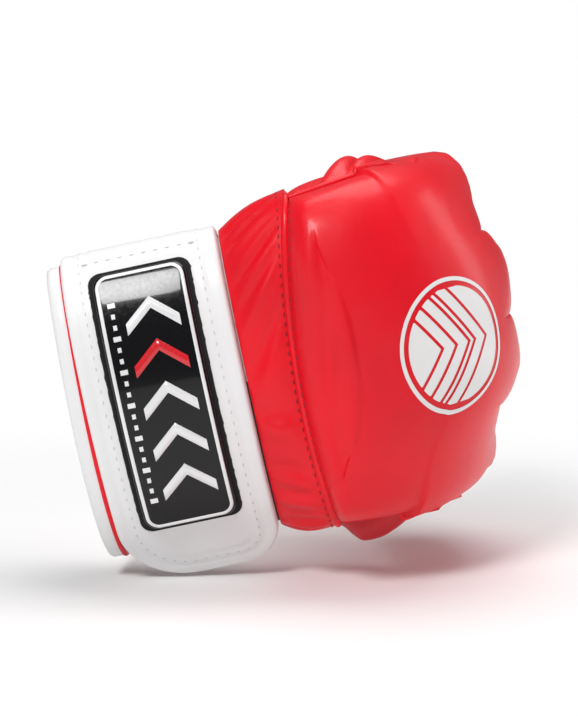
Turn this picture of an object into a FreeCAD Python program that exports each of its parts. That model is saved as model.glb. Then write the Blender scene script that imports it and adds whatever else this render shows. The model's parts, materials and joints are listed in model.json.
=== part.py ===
import FreeCAD, Part
import math
import os
import Sketcher

# An open-finger mixed martial arts glove for the right hand, standing on its little-finger
# side with the back of the hand towards -Y and the fingers curled away from it.
#
# The glove is drawn in its own axes and then leaned back as a whole:
#   X  along the hand, 0 at the strap's front edge, positive towards the knuckles
#   Y  through the hand, negative on the back of the hand, positive on the palm
#   Z  across the hand, positive towards the thumb
# Lengths are millimetres and angles are degrees.

FINGERS = ("index", "middle", "ring", "little")

DIMENSIONS = {
    # stance
    "lean_angle": 12,
    "forward_shift": -13.746,
    "depth_shift": -19.369,
    "lift_height": 67.801,
    # wrist tube: an ellipse across the hand
    "wrist_half_width": 50.5,
    "wrist_half_depth": 22,
    "wrist_side_shift": -3,
    "wrist_back_shift": 2,
    "strap_width": 51,
    "cuff_overhang": 3,
    "cuff_front": 1.2,
    "gauntlet_rear": 1.5,
    "gauntlet_length": 18.5,
    "gauntlet_inset": 1.5,
    "gauntlet_padding": 2.2,
    "piping_width": 2,
    "piping_inset": 0.3,
    "piping_depth": 2.6,
    "rear_binding_width": 2.4,
    "rear_binding_depth": 4,
    # layers
    "gap": 0.1,
    "clearance": 0.3,
    "leather": 1.6,
    "web_thickness": 1.9,
    "tape_thickness": 0.8,
    "padding_thickness": 2.5,
    "knit_thickness": 1,
    # padded shell over the back of the hand and the knuckles
    "shell_start": 20.8,
    "shell_split": 40,
    "shell_half_width": 56.5,
    "shell_floor": 14.2,
    "shell_crown": 38,
    "shell_rounding": 14,
    "knuckle_radius": 55,
    "knuckle_drop": 17,
    "knuckle_ahead": 26,
    "knuckle_end": 60,
    "finger_start": 61,
    "cover_end_wall": 5,
    "foam_start": 6,
    # fingers
    "finger_pad_width": 27.6,
    "finger_rounding": 10,
    "finger_bend": 93,
    "outer_bend": 100,
    "sleeve_radius": 12,
    "sleeve_bore": 11.2,
    "lining_radius": 11.1,
    "lining_bore": 10.4,
    "sleeve_start": 12.5,
    "tip_taper": 12,
    "tip_thickness": 4,
    "index_crown": 30,
    "middle_crown": 36,
    "ring_crown": 35,
    "little_crown": 22,
    "index_centre": 42,
    "middle_centre": 14,
    "ring_centre": -14,
    "little_centre": -42,
    "index_length": 66,
    "middle_length": 76,
    "ring_length": 74,
    "little_length": 60,
    # linings, palm and side gussets
    "hand_lining_depth": 12.1,
    "hand_lining_half_width": 49,
    "panel_thickness": 1.8,
    "lining_front": 44,
    "palm_depth": 15.9,
    "palm_low_edge": -46,
    "palm_thumb_edge": 11,
    "palm_front": 40,
    "palm_corner": 25,
    "palm_step": 26,
    "palm_notch": 9,
    "palm_seam_allowance": 2,
    "vent_radius": 8,
    "vent_bead": 1.2,
    "vent_forward": 30,
    "vent_across": -8,
    "thumb_wall": 50.5,
    "thumb_wall_front": 46,
    "thumb_wall_palm": 7,
    "pleat_radius": 3,
    "pleat_pitch": 6.5,
    "pleat_first": 31,
    "binding_radius": 1.7,
    "little_wall_centre": -46,
    "little_wall_bulge": 18,
    "little_wall_depth": 15.5,
    "little_wall_front": 34,
    "little_wall_back_shift": 1,
    "little_wall_short": 2.5,
    # strap and its badge
    "fold_back": 7,
    "peel_across": -44,
    "tip_length": 20,
    "tip_corner": 16,
    "tape_front": -4,
    "tape_rear": -47,
    "hook_low": -38,
    "hook_high": -8,
    "loop_low": -52,
    "loop_high": 0,
    "loop_front": 0.8,
    "tape_corner": 2,
    "tip_hook_margin": 3,
    "badge_front": -9.5,
    "badge_rear": -42.5,
    "badge_low": -42,
    "badge_high": 40,
    "badge_corner": 5,
    "badge_margin": 1.4,
    "badge_relief": 1.4,
    "outline_width": 1.2,
    "outline_inset": 1,
    "outline_relief": 0.4,
    "bar_half_length": 8.5,
    "bar_shift": 2,
    "bar_slant": 7,
    "bar_width": 4.2,
    "bar_pitch": 13,
}

doc = FreeCAD.newDocument("grappling_glove")
sheet = doc.addObject("Spreadsheet::Sheet", "Glove")
for row, (alias, number) in enumerate(DIMENSIONS.items(), start=1):
    sheet.set(f"A{row}", alias)
    sheet.set(f"B{row}", str(number))
    sheet.setAlias(f"B{row}", alias)
doc.recompute()

STANCE = ("Glove.forward_shift", "Glove.depth_shift", "Glove.lift_height")
TOUCH = 0.01
pieces = []


def value(expression):
    """The number an expression of the sheet's cells gives."""
    return float(sheet.evalExpression(expression))


def bind(item, **expressions):
    """Binds properties to expressions; a double underscore stands for a dot."""
    for name, expression in expressions.items():
        item.setExpression(name.replace("__", "."), expression)
    return item


def place(item, x="0", y="0", z="0", axis=(1, 0, 0), angle="0"):
    """Places a construction object in the glove's axes."""
    base = FreeCAD.Vector(value(x), value(y), value(z))
    turn = FreeCAD.Rotation(FreeCAD.Vector(*axis), value(angle))
    item.Placement = FreeCAD.Placement(base, turn)
    bind(item, Placement__Base__x=x, Placement__Base__y=y, Placement__Base__z=z)
    if angle != "0":
        bind(item, Placement__Rotation__Angle=angle)
    return item


def piece(item, label):
    """Makes an object a named sub-part and leans it back with the whole glove."""
    item.Label = label
    turn = FreeCAD.Rotation(FreeCAD.Vector(0, -1, 0), value("Glove.lean_angle"))
    stance = FreeCAD.Placement(FreeCAD.Vector(*[value(cell) for cell in STANCE]), turn)
    if item.Placement.isIdentity():
        item.Placement = stance
        bind(item, Placement__Rotation__Angle="Glove.lean_angle",
             Placement__Base__x=STANCE[0], Placement__Base__y=STANCE[1],
             Placement__Base__z=STANCE[2])
    else:
        for path, _ in item.ExpressionEngine:
            if "Placement" in path:
                item.setExpression(path, None)
        item.Placement = stance.multiply(item.Placement)
    pieces.append(item)
    return item


def box(name, x, y, z):
    """A block between two expressions along each axis."""
    item = doc.addObject("Part::Box", name)
    bind(item, Length=f"({x[1]}) - ({x[0]})", Width=f"({y[1]}) - ({y[0]})",
         Height=f"({z[1]}) - ({z[0]})")
    return place(item, x[0], y[0], z[0])


def cut(name, base, tool):
    item = doc.addObject("Part::Cut", name)
    item.Base = base
    item.Tool = tool
    return item


def common(name, base, tool):
    item = doc.addObject("Part::Common", name)
    item.Base = base
    item.Tool = tool
    return item


def fuse(name, *shapes):
    item = doc.addObject("Part::MultiFuse", name)
    item.Shapes = list(shapes)
    return item


def ellipse_solid(name, half_width, half_depth, centre, start, end):
    """A solid of elliptical section along the glove, between two places on its length."""
    rim = doc.addObject("Part::Ellipse", f"{name}_rim")
    bind(rim, MajorRadius=half_width, MinorRadius=half_depth)
    place(rim, start, *centre, axis=(0, 1, 0), angle="-90")
    item = doc.addObject("Part::Extrusion", name)
    item.Base = rim
    item.DirMode = "Custom"
    item.Dir = FreeCAD.Vector(1, 0, 0)
    item.Solid = True
    bind(item, LengthFwd=f"({end}) - ({start})")
    return item


def fillet(body, block, radius, wanted):
    """Rounds the edges of a block whose end points pass a test."""
    names = [
        f"Edge{number}"
        for number, edge in enumerate(block.Shape.Edges, start=1)
        if wanted([vertex.Point for vertex in edge.Vertexes])
    ]
    feature = body.newObject("PartDesign::Fillet", f"{block.Name}_rounding")
    feature.Base = (block, names)
    bind(feature, Radius=radius)
    doc.recompute()
    return feature


# ---- sketches -------------------------------------------------------------------------

def origin_plane(body, role):
    return next(plane for plane in body.Origin.OriginFeatures if plane.Role == role)


def new_sketch(body, name, plane, offset="0"):
    """A sketch on one of the body's own planes, moved along that plane's normal."""
    sketch = body.newObject("Sketcher::SketchObject", name)
    sketch.AttachmentSupport = [(origin_plane(body, plane), "")]
    sketch.MapMode = "FlatFace"
    bind(sketch, AttachmentOffset__Base__z=offset)
    return sketch


def arc_through(start, end, radius, side):
    """The shorter arc between two points; side is +1 if its centre is on the left."""
    half = (end - start) / 2
    reach = math.sqrt(max(radius ** 2 - half.Length ** 2, 0))
    across = FreeCAD.Vector(-half.y, half.x, 0).normalize() * reach * side
    centre = start + half + across
    ends = (start, end) if side > 0 else (end, start)
    angles = [math.atan2(point.y - centre.y, point.x - centre.x) for point in ends]
    circle = Part.Circle(centre, FreeCAD.Vector(0, 0, 1), radius)
    return Part.ArcOfCircle(circle, *angles)


def outline(sketch, corners, arcs=None):
    """Draws a closed outline.

    corners are pairs of expressions; arcs maps a corner's number to the radius expression
    and side of the arc that leaves it, and the other edges are straight.
    """
    arcs = arcs or {}
    points = [FreeCAD.Vector(value(x), value(y), 0) for x, y in corners]
    first = sketch.GeometryCount
    ends = []
    for number, start in enumerate(points):
        end = points[(number + 1) % len(points)]
        if number in arcs:
            radius, side = arcs[number]
            sketch.addGeometry(arc_through(start, end, value(radius), side))
            ends.append((1, 2) if side > 0 else (2, 1))
        else:
            sketch.addGeometry(Part.LineSegment(start, end))
            ends.append((1, 2))
    for number, (x, y) in enumerate(corners):
        following = (number + 1) % len(corners)
        edge = first + number
        sketch.addConstraint(Sketcher.Constraint(
            "Coincident", edge, ends[number][1], first + following, ends[following][0]))
        for kind, coordinate in (("DistanceX", x), ("DistanceY", y)):
            constraint = sketch.addConstraint(Sketcher.Constraint(
                kind, -1, 1, edge, ends[number][0], value(coordinate)))
            sketch.setExpression(f"Constraints[{constraint}]", coordinate)
        if number in arcs:
            constraint = sketch.addConstraint(Sketcher.Constraint(
                "Radius", edge, value(arcs[number][0])))
            sketch.setExpression(f"Constraints[{constraint}]", arcs[number][0])


def pad(body, sketch, length, both_ways=False):
    feature = body.newObject("PartDesign::Pad", f"{sketch.Name}_pad")
    feature.Profile = sketch
    feature.Midplane = both_ways
    bind(feature, Length=length)
    doc.recompute()
    return feature


def rectangle(x, y):
    return [(x[0], y[0]), (x[1], y[0]), (x[1], y[1]), (x[0], y[1])]


# ---- padded shell on the back of the hand ---------------------------------------------

def back_pad(name, inset, floor):
    """The pillow over the back of the hand, inset from its outer face by a skin."""
    body = doc.addObject("PartDesign::Body", name)
    sketch = new_sketch(body, f"{name}_plan", "XZ_Plane", floor)
    side = f"Glove.shell_half_width - ({inset})"
    outline(sketch, rectangle(
        (f"Glove.shell_start + ({inset})", f"Glove.shell_split - ({inset})"),
        (f"-({side})", side)))
    block = pad(body, sketch, f"Glove.shell_crown - ({inset}) - ({floor})")
    crown = value(f"Glove.shell_crown - ({inset})")
    rear = value(f"Glove.shell_start + ({inset})")
    edge = value(side)

    def on_border(point):
        on_top = abs(point.y + crown) < TOUCH
        return on_top and (abs(point.x - rear) < TOUCH or abs(abs(point.z) - edge) < TOUCH)

    def runs_round(ends):
        at_front = all(point.x > rear + 1 for point in ends)
        return all(on_border(point) for point in ends) and not at_front

    fillet(body, block, f"Glove.shell_rounding - ({inset})", runs_round)
    return body


SKIN = "Glove.leather"
UNDER_SKIN = "Glove.leather + Glove.gap"
SLEEVE_TOP = "(Glove.sleeve_radius + Glove.gap)"

piece(cut("dorsal_cover",
          back_pad("back_outside", "0", "Glove.shell_floor"),
          back_pad("back_cavity", SKIN, "Glove.shell_floor - 1")), "dorsal_cover")
piece(back_pad("back_foam", UNDER_SKIN, "Glove.shell_floor"), "dorsal_foam")


# ---- knuckles and fingers -------------------------------------------------------------

def finger_point(finger, along, out):
    """A point given along the finger from its knuckle, and out towards its back."""
    knuckle = f"Glove.{finger}_crown + Glove.knuckle_ahead"
    x = f"{knuckle} + ({along}) * cos(Glove.finger_bend) + ({out}) * sin(Glove.finger_bend)"
    y = f"({along}) * sin(Glove.finger_bend) - ({out}) * cos(Glove.finger_bend)"
    return x, y


def ray_point(finger, angle, distance):
    """A point at an angle from the back of the hand, about the finger's knuckle."""
    x = f"Glove.{finger}_crown + Glove.knuckle_ahead + ({distance}) * sin({angle})"
    return x, f"-({distance}) * cos({angle})"


def reach(angle, inset):
    """Distance from the knuckle's axis to the shell's outer arc, along a ray."""
    lead = f"(Glove.knuckle_ahead * sin({angle}) + Glove.knuckle_drop * cos({angle}))"
    offset = "(Glove.knuckle_ahead ^ 2 + Glove.knuckle_drop ^ 2)"
    radius = f"(Glove.knuckle_radius - ({inset}))"
    return f"(sqrt({lead} ^ 2 - {offset} + {radius} ^ 2) - {lead})"


def arc_height(finger, x, inset):
    """Height of the shell's outer arc over the back of the hand at a given place."""
    run = f"(({x}) - Glove.{finger}_crown)"
    radius = f"(Glove.knuckle_radius - ({inset}))"
    return f"(sqrt({radius} ^ 2 - {run} ^ 2) - Glove.knuckle_drop)"


def side_edges(on_back):
    """A test for the long edges of a pad's back, which run along its two sides."""
    def wanted(ends):
        level = len(ends) == 2 and abs(ends[0].z - ends[-1].z) < TOUCH
        return level and all(on_back(point) for point in ends)

    return wanted


def knuckle_pad(finger):
    """Foam roll that bridges the back of the hand and one finger's pad, and bends."""
    body = doc.addObject("PartDesign::Body", f"{finger}_knuckle")
    centre = f"Glove.{finger}_centre"
    sketch = new_sketch(body, f"{finger}_knuckle_side", "XY_Plane", centre)
    rear = "Glove.shell_split + Glove.clearance"
    knuckle = f"Glove.{finger}_crown + Glove.knuckle_ahead"
    end = "Glove.knuckle_end"
    corners = [
        (rear, "-Glove.shell_floor"),
        (rear, f"-{arc_height(finger, rear, '0')}"),
        ray_point(finger, end, reach(end, "0")),
        ray_point(finger, end, "Glove.shell_floor"),
        (knuckle, "-Glove.shell_floor"),
    ]
    outline(sketch, corners, {1: ("Glove.knuckle_radius", 1), 3: ("Glove.shell_floor", -1)})
    block = pad(body, sketch, "Glove.finger_pad_width", both_ways=True)
    crown = value(f"Glove.{finger}_crown")
    drop = value("Glove.knuckle_drop")
    radius = value("Glove.knuckle_radius")

    def on_back(point):
        return abs(math.hypot(point.x - crown, point.y - drop) - radius) < TOUCH

    fillet(body, block, "Glove.finger_rounding", side_edges(on_back))
    return body


def finger_pad(finger, name, inset, floor, early):
    """The crowned pad on a finger's back: curved at the knuckle, straight to the tip."""
    body = doc.addObject("PartDesign::Body", f"{finger}_{name}")
    centre = f"Glove.{finger}_centre"
    sketch = new_sketch(body, f"{finger}_{name}_side", "XY_Plane", centre)
    start = f"(Glove.finger_start + {early})"
    radius = f"(Glove.knuckle_radius - ({inset}))"
    ahead = f"({radius} * sin(Glove.outer_bend) - Glove.knuckle_ahead)"
    down = f"(Glove.knuckle_drop - {radius} * cos(Glove.outer_bend))"
    bend = "Glove.finger_bend"
    along = f"({ahead} * cos({bend}) + {down} * sin({bend}))"
    out = f"({ahead} * sin({bend}) - {down} * cos({bend}))"
    tip = f"(Glove.{finger}_length - ({inset}))"
    shoulder = f"({tip} - Glove.tip_taper)"
    slope = f"tan(Glove.outer_bend - {bend})"
    corners = [
        ray_point(finger, start, floor),
        ray_point(finger, start, reach(start, inset)),
        finger_point(finger, along, out),
        finger_point(finger, shoulder, f"{out} - ({shoulder} - {along}) * {slope}"),
        finger_point(finger, tip, f"{SLEEVE_TOP} + Glove.tip_thickness - ({inset})"),
        finger_point(finger, tip, floor),
        finger_point(finger, "0", floor),
    ]
    outline(sketch, corners, {1: (radius, 1), 6: (floor, -1)})
    block = pad(body, sketch, f"Glove.finger_pad_width - 2 * ({inset})", both_ways=True)
    axis = value(f"Glove.{finger}_crown + Glove.knuckle_ahead")
    turn = math.radians(value(bend))
    tip_at = value(tip)

    def on_back(point):
        x, y = point.x - axis, point.y
        off_axis = x * math.sin(turn) - y * math.cos(turn)
        along_axis = x * math.cos(turn) + y * math.sin(turn)
        far = math.hypot(x, y) if along_axis < 0 else off_axis
        return far > value(floor) + 2.5 and along_axis < tip_at - 1

    fillet(body, block, f"Glove.finger_rounding - ({inset})", side_edges(on_back))
    return body


def finger_tube(finger, name, outer, bore):
    """A round tube along the finger, from the palm to the open tip."""
    shells = []
    for part, radius, extra in (("outside", outer, "0"), ("bore", bore, "1")):
        item = doc.addObject("Part::Cylinder", f"{finger}_{name}_{part}")
        bind(item, Radius=radius,
             Height=f"Glove.{finger}_length - Glove.sleeve_start + 2 * ({extra})")
        x, y = finger_point(finger, f"Glove.sleeve_start - ({extra})", "0")
        place(item, x, y, f"Glove.{finger}_centre", axis=(1, 0, 0), angle="-90")
        lean_in = FreeCAD.Rotation(FreeCAD.Vector(0, 0, 1), value("Glove.finger_bend - 90"))
        item.Placement.Rotation = lean_in.multiply(item.Placement.Rotation)
        item.setExpression("Placement.Rotation.Angle", None)
        shells.append(item)
    return cut(f"{finger}_{name}", *shells)


for finger in FINGERS:
    piece(knuckle_pad(finger), f"{finger}_knuckle_pad")
    outside = finger_pad(finger, "outside", "0", SLEEVE_TOP, "0")
    cavity = finger_pad(finger, "cavity", SKIN, f"{SLEEVE_TOP} - 1", "Glove.cover_end_wall")
    piece(cut(f"{finger}_cover", outside, cavity), f"{finger}_cover")
    piece(finger_pad(finger, "foam_block", UNDER_SKIN, SLEEVE_TOP, "Glove.foam_start"),
          f"{finger}_foam")
    piece(finger_tube(finger, "tube", "Glove.sleeve_radius", "Glove.sleeve_bore"),
          f"{finger}_sleeve")
    piece(finger_tube(finger, "inner_tube", "Glove.lining_radius", "Glove.lining_bore"),
          f"{finger}_lining")


# ---- wrist tube -----------------------------------------------------------------------

def wrist_solid(name, inset, start, end):
    """A solid section of the wrist, inset from the strap's outer face."""
    return ellipse_solid(name, f"Glove.wrist_half_width - ({inset})",
                         f"Glove.wrist_half_depth - ({inset})",
                         ("-Glove.wrist_back_shift", "Glove.wrist_side_shift"), start, end)


def wrist_layer(name, outer, thickness, start, end):
    """One layer of the wrist tube, as a closed ring."""
    return cut(name, wrist_solid(f"{name}_outside", outer, start, end),
               wrist_solid(f"{name}_inside", f"{outer} + {thickness}",
                           f"{start} - 1", f"{end} + 1"))


STRAP_REAR = "-Glove.strap_width"
CUFF_REAR = "-Glove.strap_width - Glove.cuff_overhang"
HOOK = "Glove.web_thickness + Glove.gap"
LOOP = f"{HOOK} + Glove.tape_thickness + Glove.gap"
CUFF = f"{LOOP} + Glove.tape_thickness + Glove.gap"
PADDING = f"{CUFF} + Glove.leather + Glove.gap"
KNIT = f"{PADDING} + Glove.padding_thickness + Glove.gap"
GAUNTLET_FRONT = "Glove.gauntlet_length"
GAUNTLET_PADDING = f"Glove.gauntlet_inset + {SKIN} + Glove.gap"
PIPING_REAR = f"{GAUNTLET_FRONT} + Glove.gap"

WRIST_LAYERS = {
    "cuff_band": (CUFF, "Glove.leather", CUFF_REAR, "Glove.cuff_front"),
    "cuff_padding": (PADDING, "Glove.padding_thickness",
                     f"{STRAP_REAR} + 1", f"{GAUNTLET_FRONT} - 1"),
    "cuff_lining": (KNIT, "Glove.knit_thickness",
                    f"{CUFF_REAR} + 1", f"{GAUNTLET_FRONT} - 0.5"),
    "cuff_binding": (f"{CUFF} - 1", "Glove.rear_binding_depth",
                     f"{CUFF_REAR} - Glove.rear_binding_width", f"{CUFF_REAR} - Glove.gap"),
    "gauntlet_cover": ("Glove.gauntlet_inset", "Glove.leather",
                       "Glove.gauntlet_rear", GAUNTLET_FRONT),
    "gauntlet_padding": (GAUNTLET_PADDING, "Glove.gauntlet_padding",
                         "Glove.gauntlet_rear + 0.5", f"{GAUNTLET_FRONT} - 0.5"),
    "wrist_seam_piping": ("Glove.piping_inset", "Glove.piping_depth",
                          PIPING_REAR, f"{PIPING_REAR} + Glove.piping_width"),
}
for label, layer in WRIST_LAYERS.items():
    piece(wrist_layer(label, *layer), label)


# ---- strap ----------------------------------------------------------------------------

MID_WEB = "Glove.web_thickness / 2"
FOLD_Y = "-Glove.fold_back"
MID_WIDTH = f"(Glove.wrist_half_width - {MID_WEB})"
MID_DEPTH = f"(Glove.wrist_half_depth - {MID_WEB})"
FOLD_RISE = f"((Glove.fold_back - Glove.wrist_back_shift) / {MID_DEPTH})"
FOLD_Z = f"(Glove.wrist_side_shift + {MID_WIDTH} * sqrt(1 - {FOLD_RISE} ^ 2))"
PEEL_Z = "Glove.peel_across"
PEEL_RUN = f"((Glove.peel_across - Glove.wrist_side_shift) / {MID_WIDTH})"
PEEL_SLOPE = f"sqrt(1 - {PEEL_RUN} ^ 2)"
PEEL_Y = f"(-Glove.wrist_back_shift - {MID_DEPTH} * {PEEL_SLOPE})"
TIP_ANGLE = f"atan(-{PEEL_RUN} * {MID_DEPTH} / {MID_WIDTH} / {PEEL_SLOPE})"
BEYOND = "60"


def web_roll(name, radius, y, z):
    """A round rod across the strap on one of its fold lines."""
    item = doc.addObject("Part::Cylinder", name)
    bind(item, Radius=radius, Height="Glove.strap_width")
    return place(item, STRAP_REAR, y, z, axis=(0, 1, 0), angle="90")


def strap_band(name, y, z):
    """The part of the strap's ring that lies in a block of space."""
    ring = wrist_layer(f"{name}_ring", "0", "Glove.web_thickness", STRAP_REAR, "0")
    return common(name, ring, box(f"{name}_block", (f"{STRAP_REAR} - 1", "1"), y, z))


FOLD_CLEAR = f"{MID_WEB} + Glove.clearance"
flap = strap_band("flap_band", (f"-{BEYOND}", FOLD_Y), (PEEL_Z, BEYOND))
flap_cut = cut("flap_end", flap, web_roll("flap_peel_clearance", FOLD_CLEAR, PEEL_Y, PEEL_Z))
piece(fuse("strap_flap", flap_cut, web_roll("flap_fold", MID_WEB, FOLD_Y, FOLD_Z)),
      "strap_flap")
anchor = strap_band("anchor_band", (FOLD_Y, BEYOND), ("Glove.palm_low_edge", BEYOND))
piece(cut("strap_anchor", anchor, web_roll("anchor_fold_clearance", FOLD_CLEAR, FOLD_Y, FOLD_Z)),
      "strap_anchor")


def tip_plate(name, depth, thickness, margin, length):
    """A flat plate hanging from the strap's peel line, rounded at its free end."""
    body = doc.addObject("PartDesign::Body", name)
    sketch = new_sketch(body, f"{name}_plan", "XZ_Plane", f"-({depth})")
    outline(sketch, rectangle((f"{STRAP_REAR} + ({margin})", f"-({margin})"),
                              (f"-({length})", "0" if margin == "0" else f"-({margin})")))
    block = pad(body, sketch, thickness)
    end = value(f"-({length})")

    def free_corner(ends):
        upright = abs(ends[0].y - ends[-1].y) > TOUCH
        return upright and all(abs(point.z - end) < TOUCH for point in ends)

    fillet(body, block, f"min(Glove.tip_corner; {length} - ({margin}) - 1)", free_corner)
    return place(body, "0", PEEL_Y, PEEL_Z, axis=(1, 0, 0), angle=TIP_ANGLE)


tip = tip_plate("tip_web", MID_WEB, "Glove.web_thickness", "0", "Glove.tip_length")
piece(fuse("strap_tip", tip, web_roll("tip_peel_roll", MID_WEB, PEEL_Y, PEEL_Z)), "strap_tip")
piece(tip_plate("tip_hook", f"{MID_WEB} + Glove.gap + Glove.tape_thickness",
                "Glove.tape_thickness", "Glove.tip_hook_margin",
                "Glove.tip_length - Glove.tip_hook_margin"), "tip_hook_patch")


def rounded_block(name, x, z, corner):
    """A block through the back of the wrist with its four upright edges rounded."""
    body = doc.addObject("PartDesign::Body", name)
    sketch = new_sketch(body, f"{name}_plan", "XZ_Plane")
    outline(sketch, rectangle(x, z))
    block = pad(body, sketch, BEYOND)
    fillet(body, block, corner, lambda ends: abs(ends[0].y - ends[-1].y) > 1)
    return body


def patch(name, inset, thickness, x, z, corner="Glove.tape_corner"):
    """A thin rounded patch that follows the back of the wrist."""
    layer = wrist_layer(f"{name}_layer", inset, thickness, f"{CUFF_REAR} - 1", "3")
    return common(name, layer, rounded_block(f"{name}_block", x, z, corner))


TAPE_X = ("Glove.tape_rear", "Glove.tape_front")
piece(patch("flap_hook", HOOK, "Glove.tape_thickness", TAPE_X,
            ("Glove.hook_low", "Glove.hook_high")), "flap_hook_patch")
piece(patch("loop", LOOP, "Glove.tape_thickness", ("Glove.tape_rear", "Glove.loop_front"),
            ("Glove.loop_low", "Glove.loop_high")), "loop_patch")

BACKING = "-Glove.tape_thickness - Glove.gap"
FACE = f"{BACKING} - Glove.gap - Glove.badge_relief"
RELIEF = f"{FACE} - Glove.gap - Glove.outline_relief"


def badge_area(margin):
    """The badge's extent along and across the strap, inside a margin."""
    along = (f"Glove.badge_rear + {margin}", f"Glove.badge_front - ({margin})")
    across = (f"Glove.badge_low + {margin}", f"Glove.badge_high - ({margin})")
    return along, across


piece(patch("badge_back", BACKING, "Glove.tape_thickness", *badge_area("0"),
            corner="Glove.badge_corner"), "badge_backing")
piece(patch("badge_plate", FACE, "Glove.badge_relief", *badge_area("Glove.badge_margin"),
            corner="Glove.badge_corner"), "badge_face")

outline_out = "(Glove.badge_margin + Glove.outline_inset)"
outline_in = f"({outline_out} + Glove.outline_width)"
outer_frame = patch("outline_outer", RELIEF, "Glove.outline_relief", *badge_area(outline_out),
                    corner="Glove.badge_corner - Glove.outline_inset")
inner_block = rounded_block("outline_inner", *badge_area(outline_in),
                            "Glove.badge_corner - Glove.outline_inset - Glove.outline_width")
piece(cut("badge_frame", outer_frame, inner_block), "badge_outline")

bars = doc.addObject("PartDesign::Body", "bar_block")
bar_sketch = new_sketch(bars, "bar_plan", "XZ_Plane")
BADGE_MIDDLE_X = "((Glove.badge_front + Glove.badge_rear) / 2 + Glove.bar_shift)"
BADGE_MIDDLE_Z = "(Glove.badge_low + Glove.badge_high) / 2"
for step in (-2, -1, 0, 1, 2):
    level = f"({BADGE_MIDDLE_Z} + {step} * Glove.bar_pitch)"
    left = f"{BADGE_MIDDLE_X} - Glove.bar_half_length"
    right = f"{BADGE_MIDDLE_X} + Glove.bar_half_length"
    foot = f"{level} - (Glove.bar_slant + Glove.bar_width) / 2"
    tip = f"{level} + (Glove.bar_slant - Glove.bar_width) / 2"
    outline(bar_sketch, [
        (left, foot),
        (BADGE_MIDDLE_X, tip),
        (right, foot),
        (right, f"{foot} + Glove.bar_width"),
        (BADGE_MIDDLE_X, f"{tip} + Glove.bar_width"),
        (left, f"{foot} + Glove.bar_width"),
    ])
pad(bars, bar_sketch, BEYOND)
bar_layer = wrist_layer("bar_layer", RELIEF, "Glove.outline_relief", CUFF_REAR, "3")
piece(common("badge_motif", bar_layer, bars), "badge_bars")


# ---- hand linings, palm and gussets ---------------------------------------------------

def sheet_panel(name, depth, thickness, corners, arcs=None):
    """A flat panel across the hand; depth is its place towards the back of the hand."""
    body = doc.addObject("PartDesign::Body", name)
    sketch = new_sketch(body, f"{name}_plan", "XZ_Plane", depth)
    outline(sketch, corners, arcs)
    pad(body, sketch, thickness)
    return body


HAND_X = ("Glove.shell_start", "Glove.lining_front")
HAND_Z = ("-Glove.hand_lining_half_width", "Glove.hand_lining_half_width")
piece(sheet_panel("back_lining", "Glove.hand_lining_depth", "Glove.panel_thickness",
                  rectangle(HAND_X, HAND_Z)), "dorsal_lining")


def palm_corners(margin):
    """The palm's outline: straight at the cuff, stepped back under the little finger."""
    low = f"Glove.palm_low_edge + {margin}"
    high = f"Glove.palm_thumb_edge - {margin}"
    return [
        ("Glove.shell_start", low),
        (f"Glove.palm_corner - {margin}", low),
        (f"Glove.palm_front - {margin}", "Glove.palm_low_edge + Glove.palm_step"),
        (f"Glove.palm_front - {margin}", f"{high} - Glove.palm_notch"),
        (f"Glove.palm_front - Glove.palm_notch - {margin}", high),
        ("Glove.shell_start", high),
    ]


PALM_ARC = {3: ("Glove.palm_notch", 1)}
piece(sheet_panel("palm_leather", "-Glove.palm_depth", "Glove.panel_thickness",
                  palm_corners("0"), PALM_ARC), "palm_panel")
piece(sheet_panel("palm_knit", "-Glove.palm_depth + Glove.panel_thickness + Glove.gap",
                  "Glove.panel_thickness", palm_corners("Glove.palm_seam_allowance"),
                  PALM_ARC), "palm_lining")

vent = doc.addObject("Part::Torus", "vent")
bind(vent, Radius1="Glove.vent_radius", Radius2="Glove.vent_bead")
vent.Angle3 = 200
place(vent, "Glove.vent_forward", "Glove.palm_depth + Glove.vent_bead + 5 * Glove.gap",
      "Glove.vent_across", axis=(1, 0, 0), angle="90")
piece(vent, "palm_vent_binding")

# The thumb-side wall of the hand is folded into upright pleats, so the knuckle can bend.
wall = box("thumb_wall", ("Glove.shell_start", "Glove.thumb_wall_front"),
           ("-Glove.shell_floor + Glove.clearance", "Glove.thumb_wall_palm"),
           ("Glove.thumb_wall", "Glove.thumb_wall + Glove.panel_thickness"))
pleats = []
for number in range(3):
    pleat = doc.addObject("Part::Cylinder", f"pleat_{number + 1}")
    bind(pleat, Radius="Glove.pleat_radius", Height="Glove.shell_floor + Glove.thumb_wall_palm - 2")
    place(pleat, f"Glove.pleat_first + {number} * Glove.pleat_pitch",
          "Glove.thumb_wall_palm - 0.5", "Glove.thumb_wall + Glove.panel_thickness",
          axis=(1, 0, 0), angle="90")
    pleats.append(pleat)
piece(fuse("thumb_gusset", wall, *pleats), "thumb_gusset")


def side_bulge(name, inset, spare):
    """The little-finger side wall's rounded form, inset from its outer face."""
    return ellipse_solid(name, f"Glove.little_wall_bulge - ({inset})",
                         f"Glove.little_wall_depth - ({inset})",
                         ("Glove.little_wall_back_shift", "Glove.little_wall_centre"),
                         f"Glove.shell_start - {spare}", f"Glove.little_wall_front + {spare}")


bulge = cut("little_bulge", side_bulge("little_outside", "0", "0"),
            side_bulge("little_inside", "Glove.panel_thickness", "1"))
little_side = box("little_block", ("Glove.shell_start - 2", "Glove.little_wall_front + 2"),
                  ("-Glove.shell_floor + Glove.clearance",
                   "Glove.palm_depth - Glove.little_wall_short"),
                  ("-90", "-Glove.hand_lining_half_width - Glove.clearance"))
piece(common("little_side", bulge, little_side), "little_side_gusset")


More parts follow.
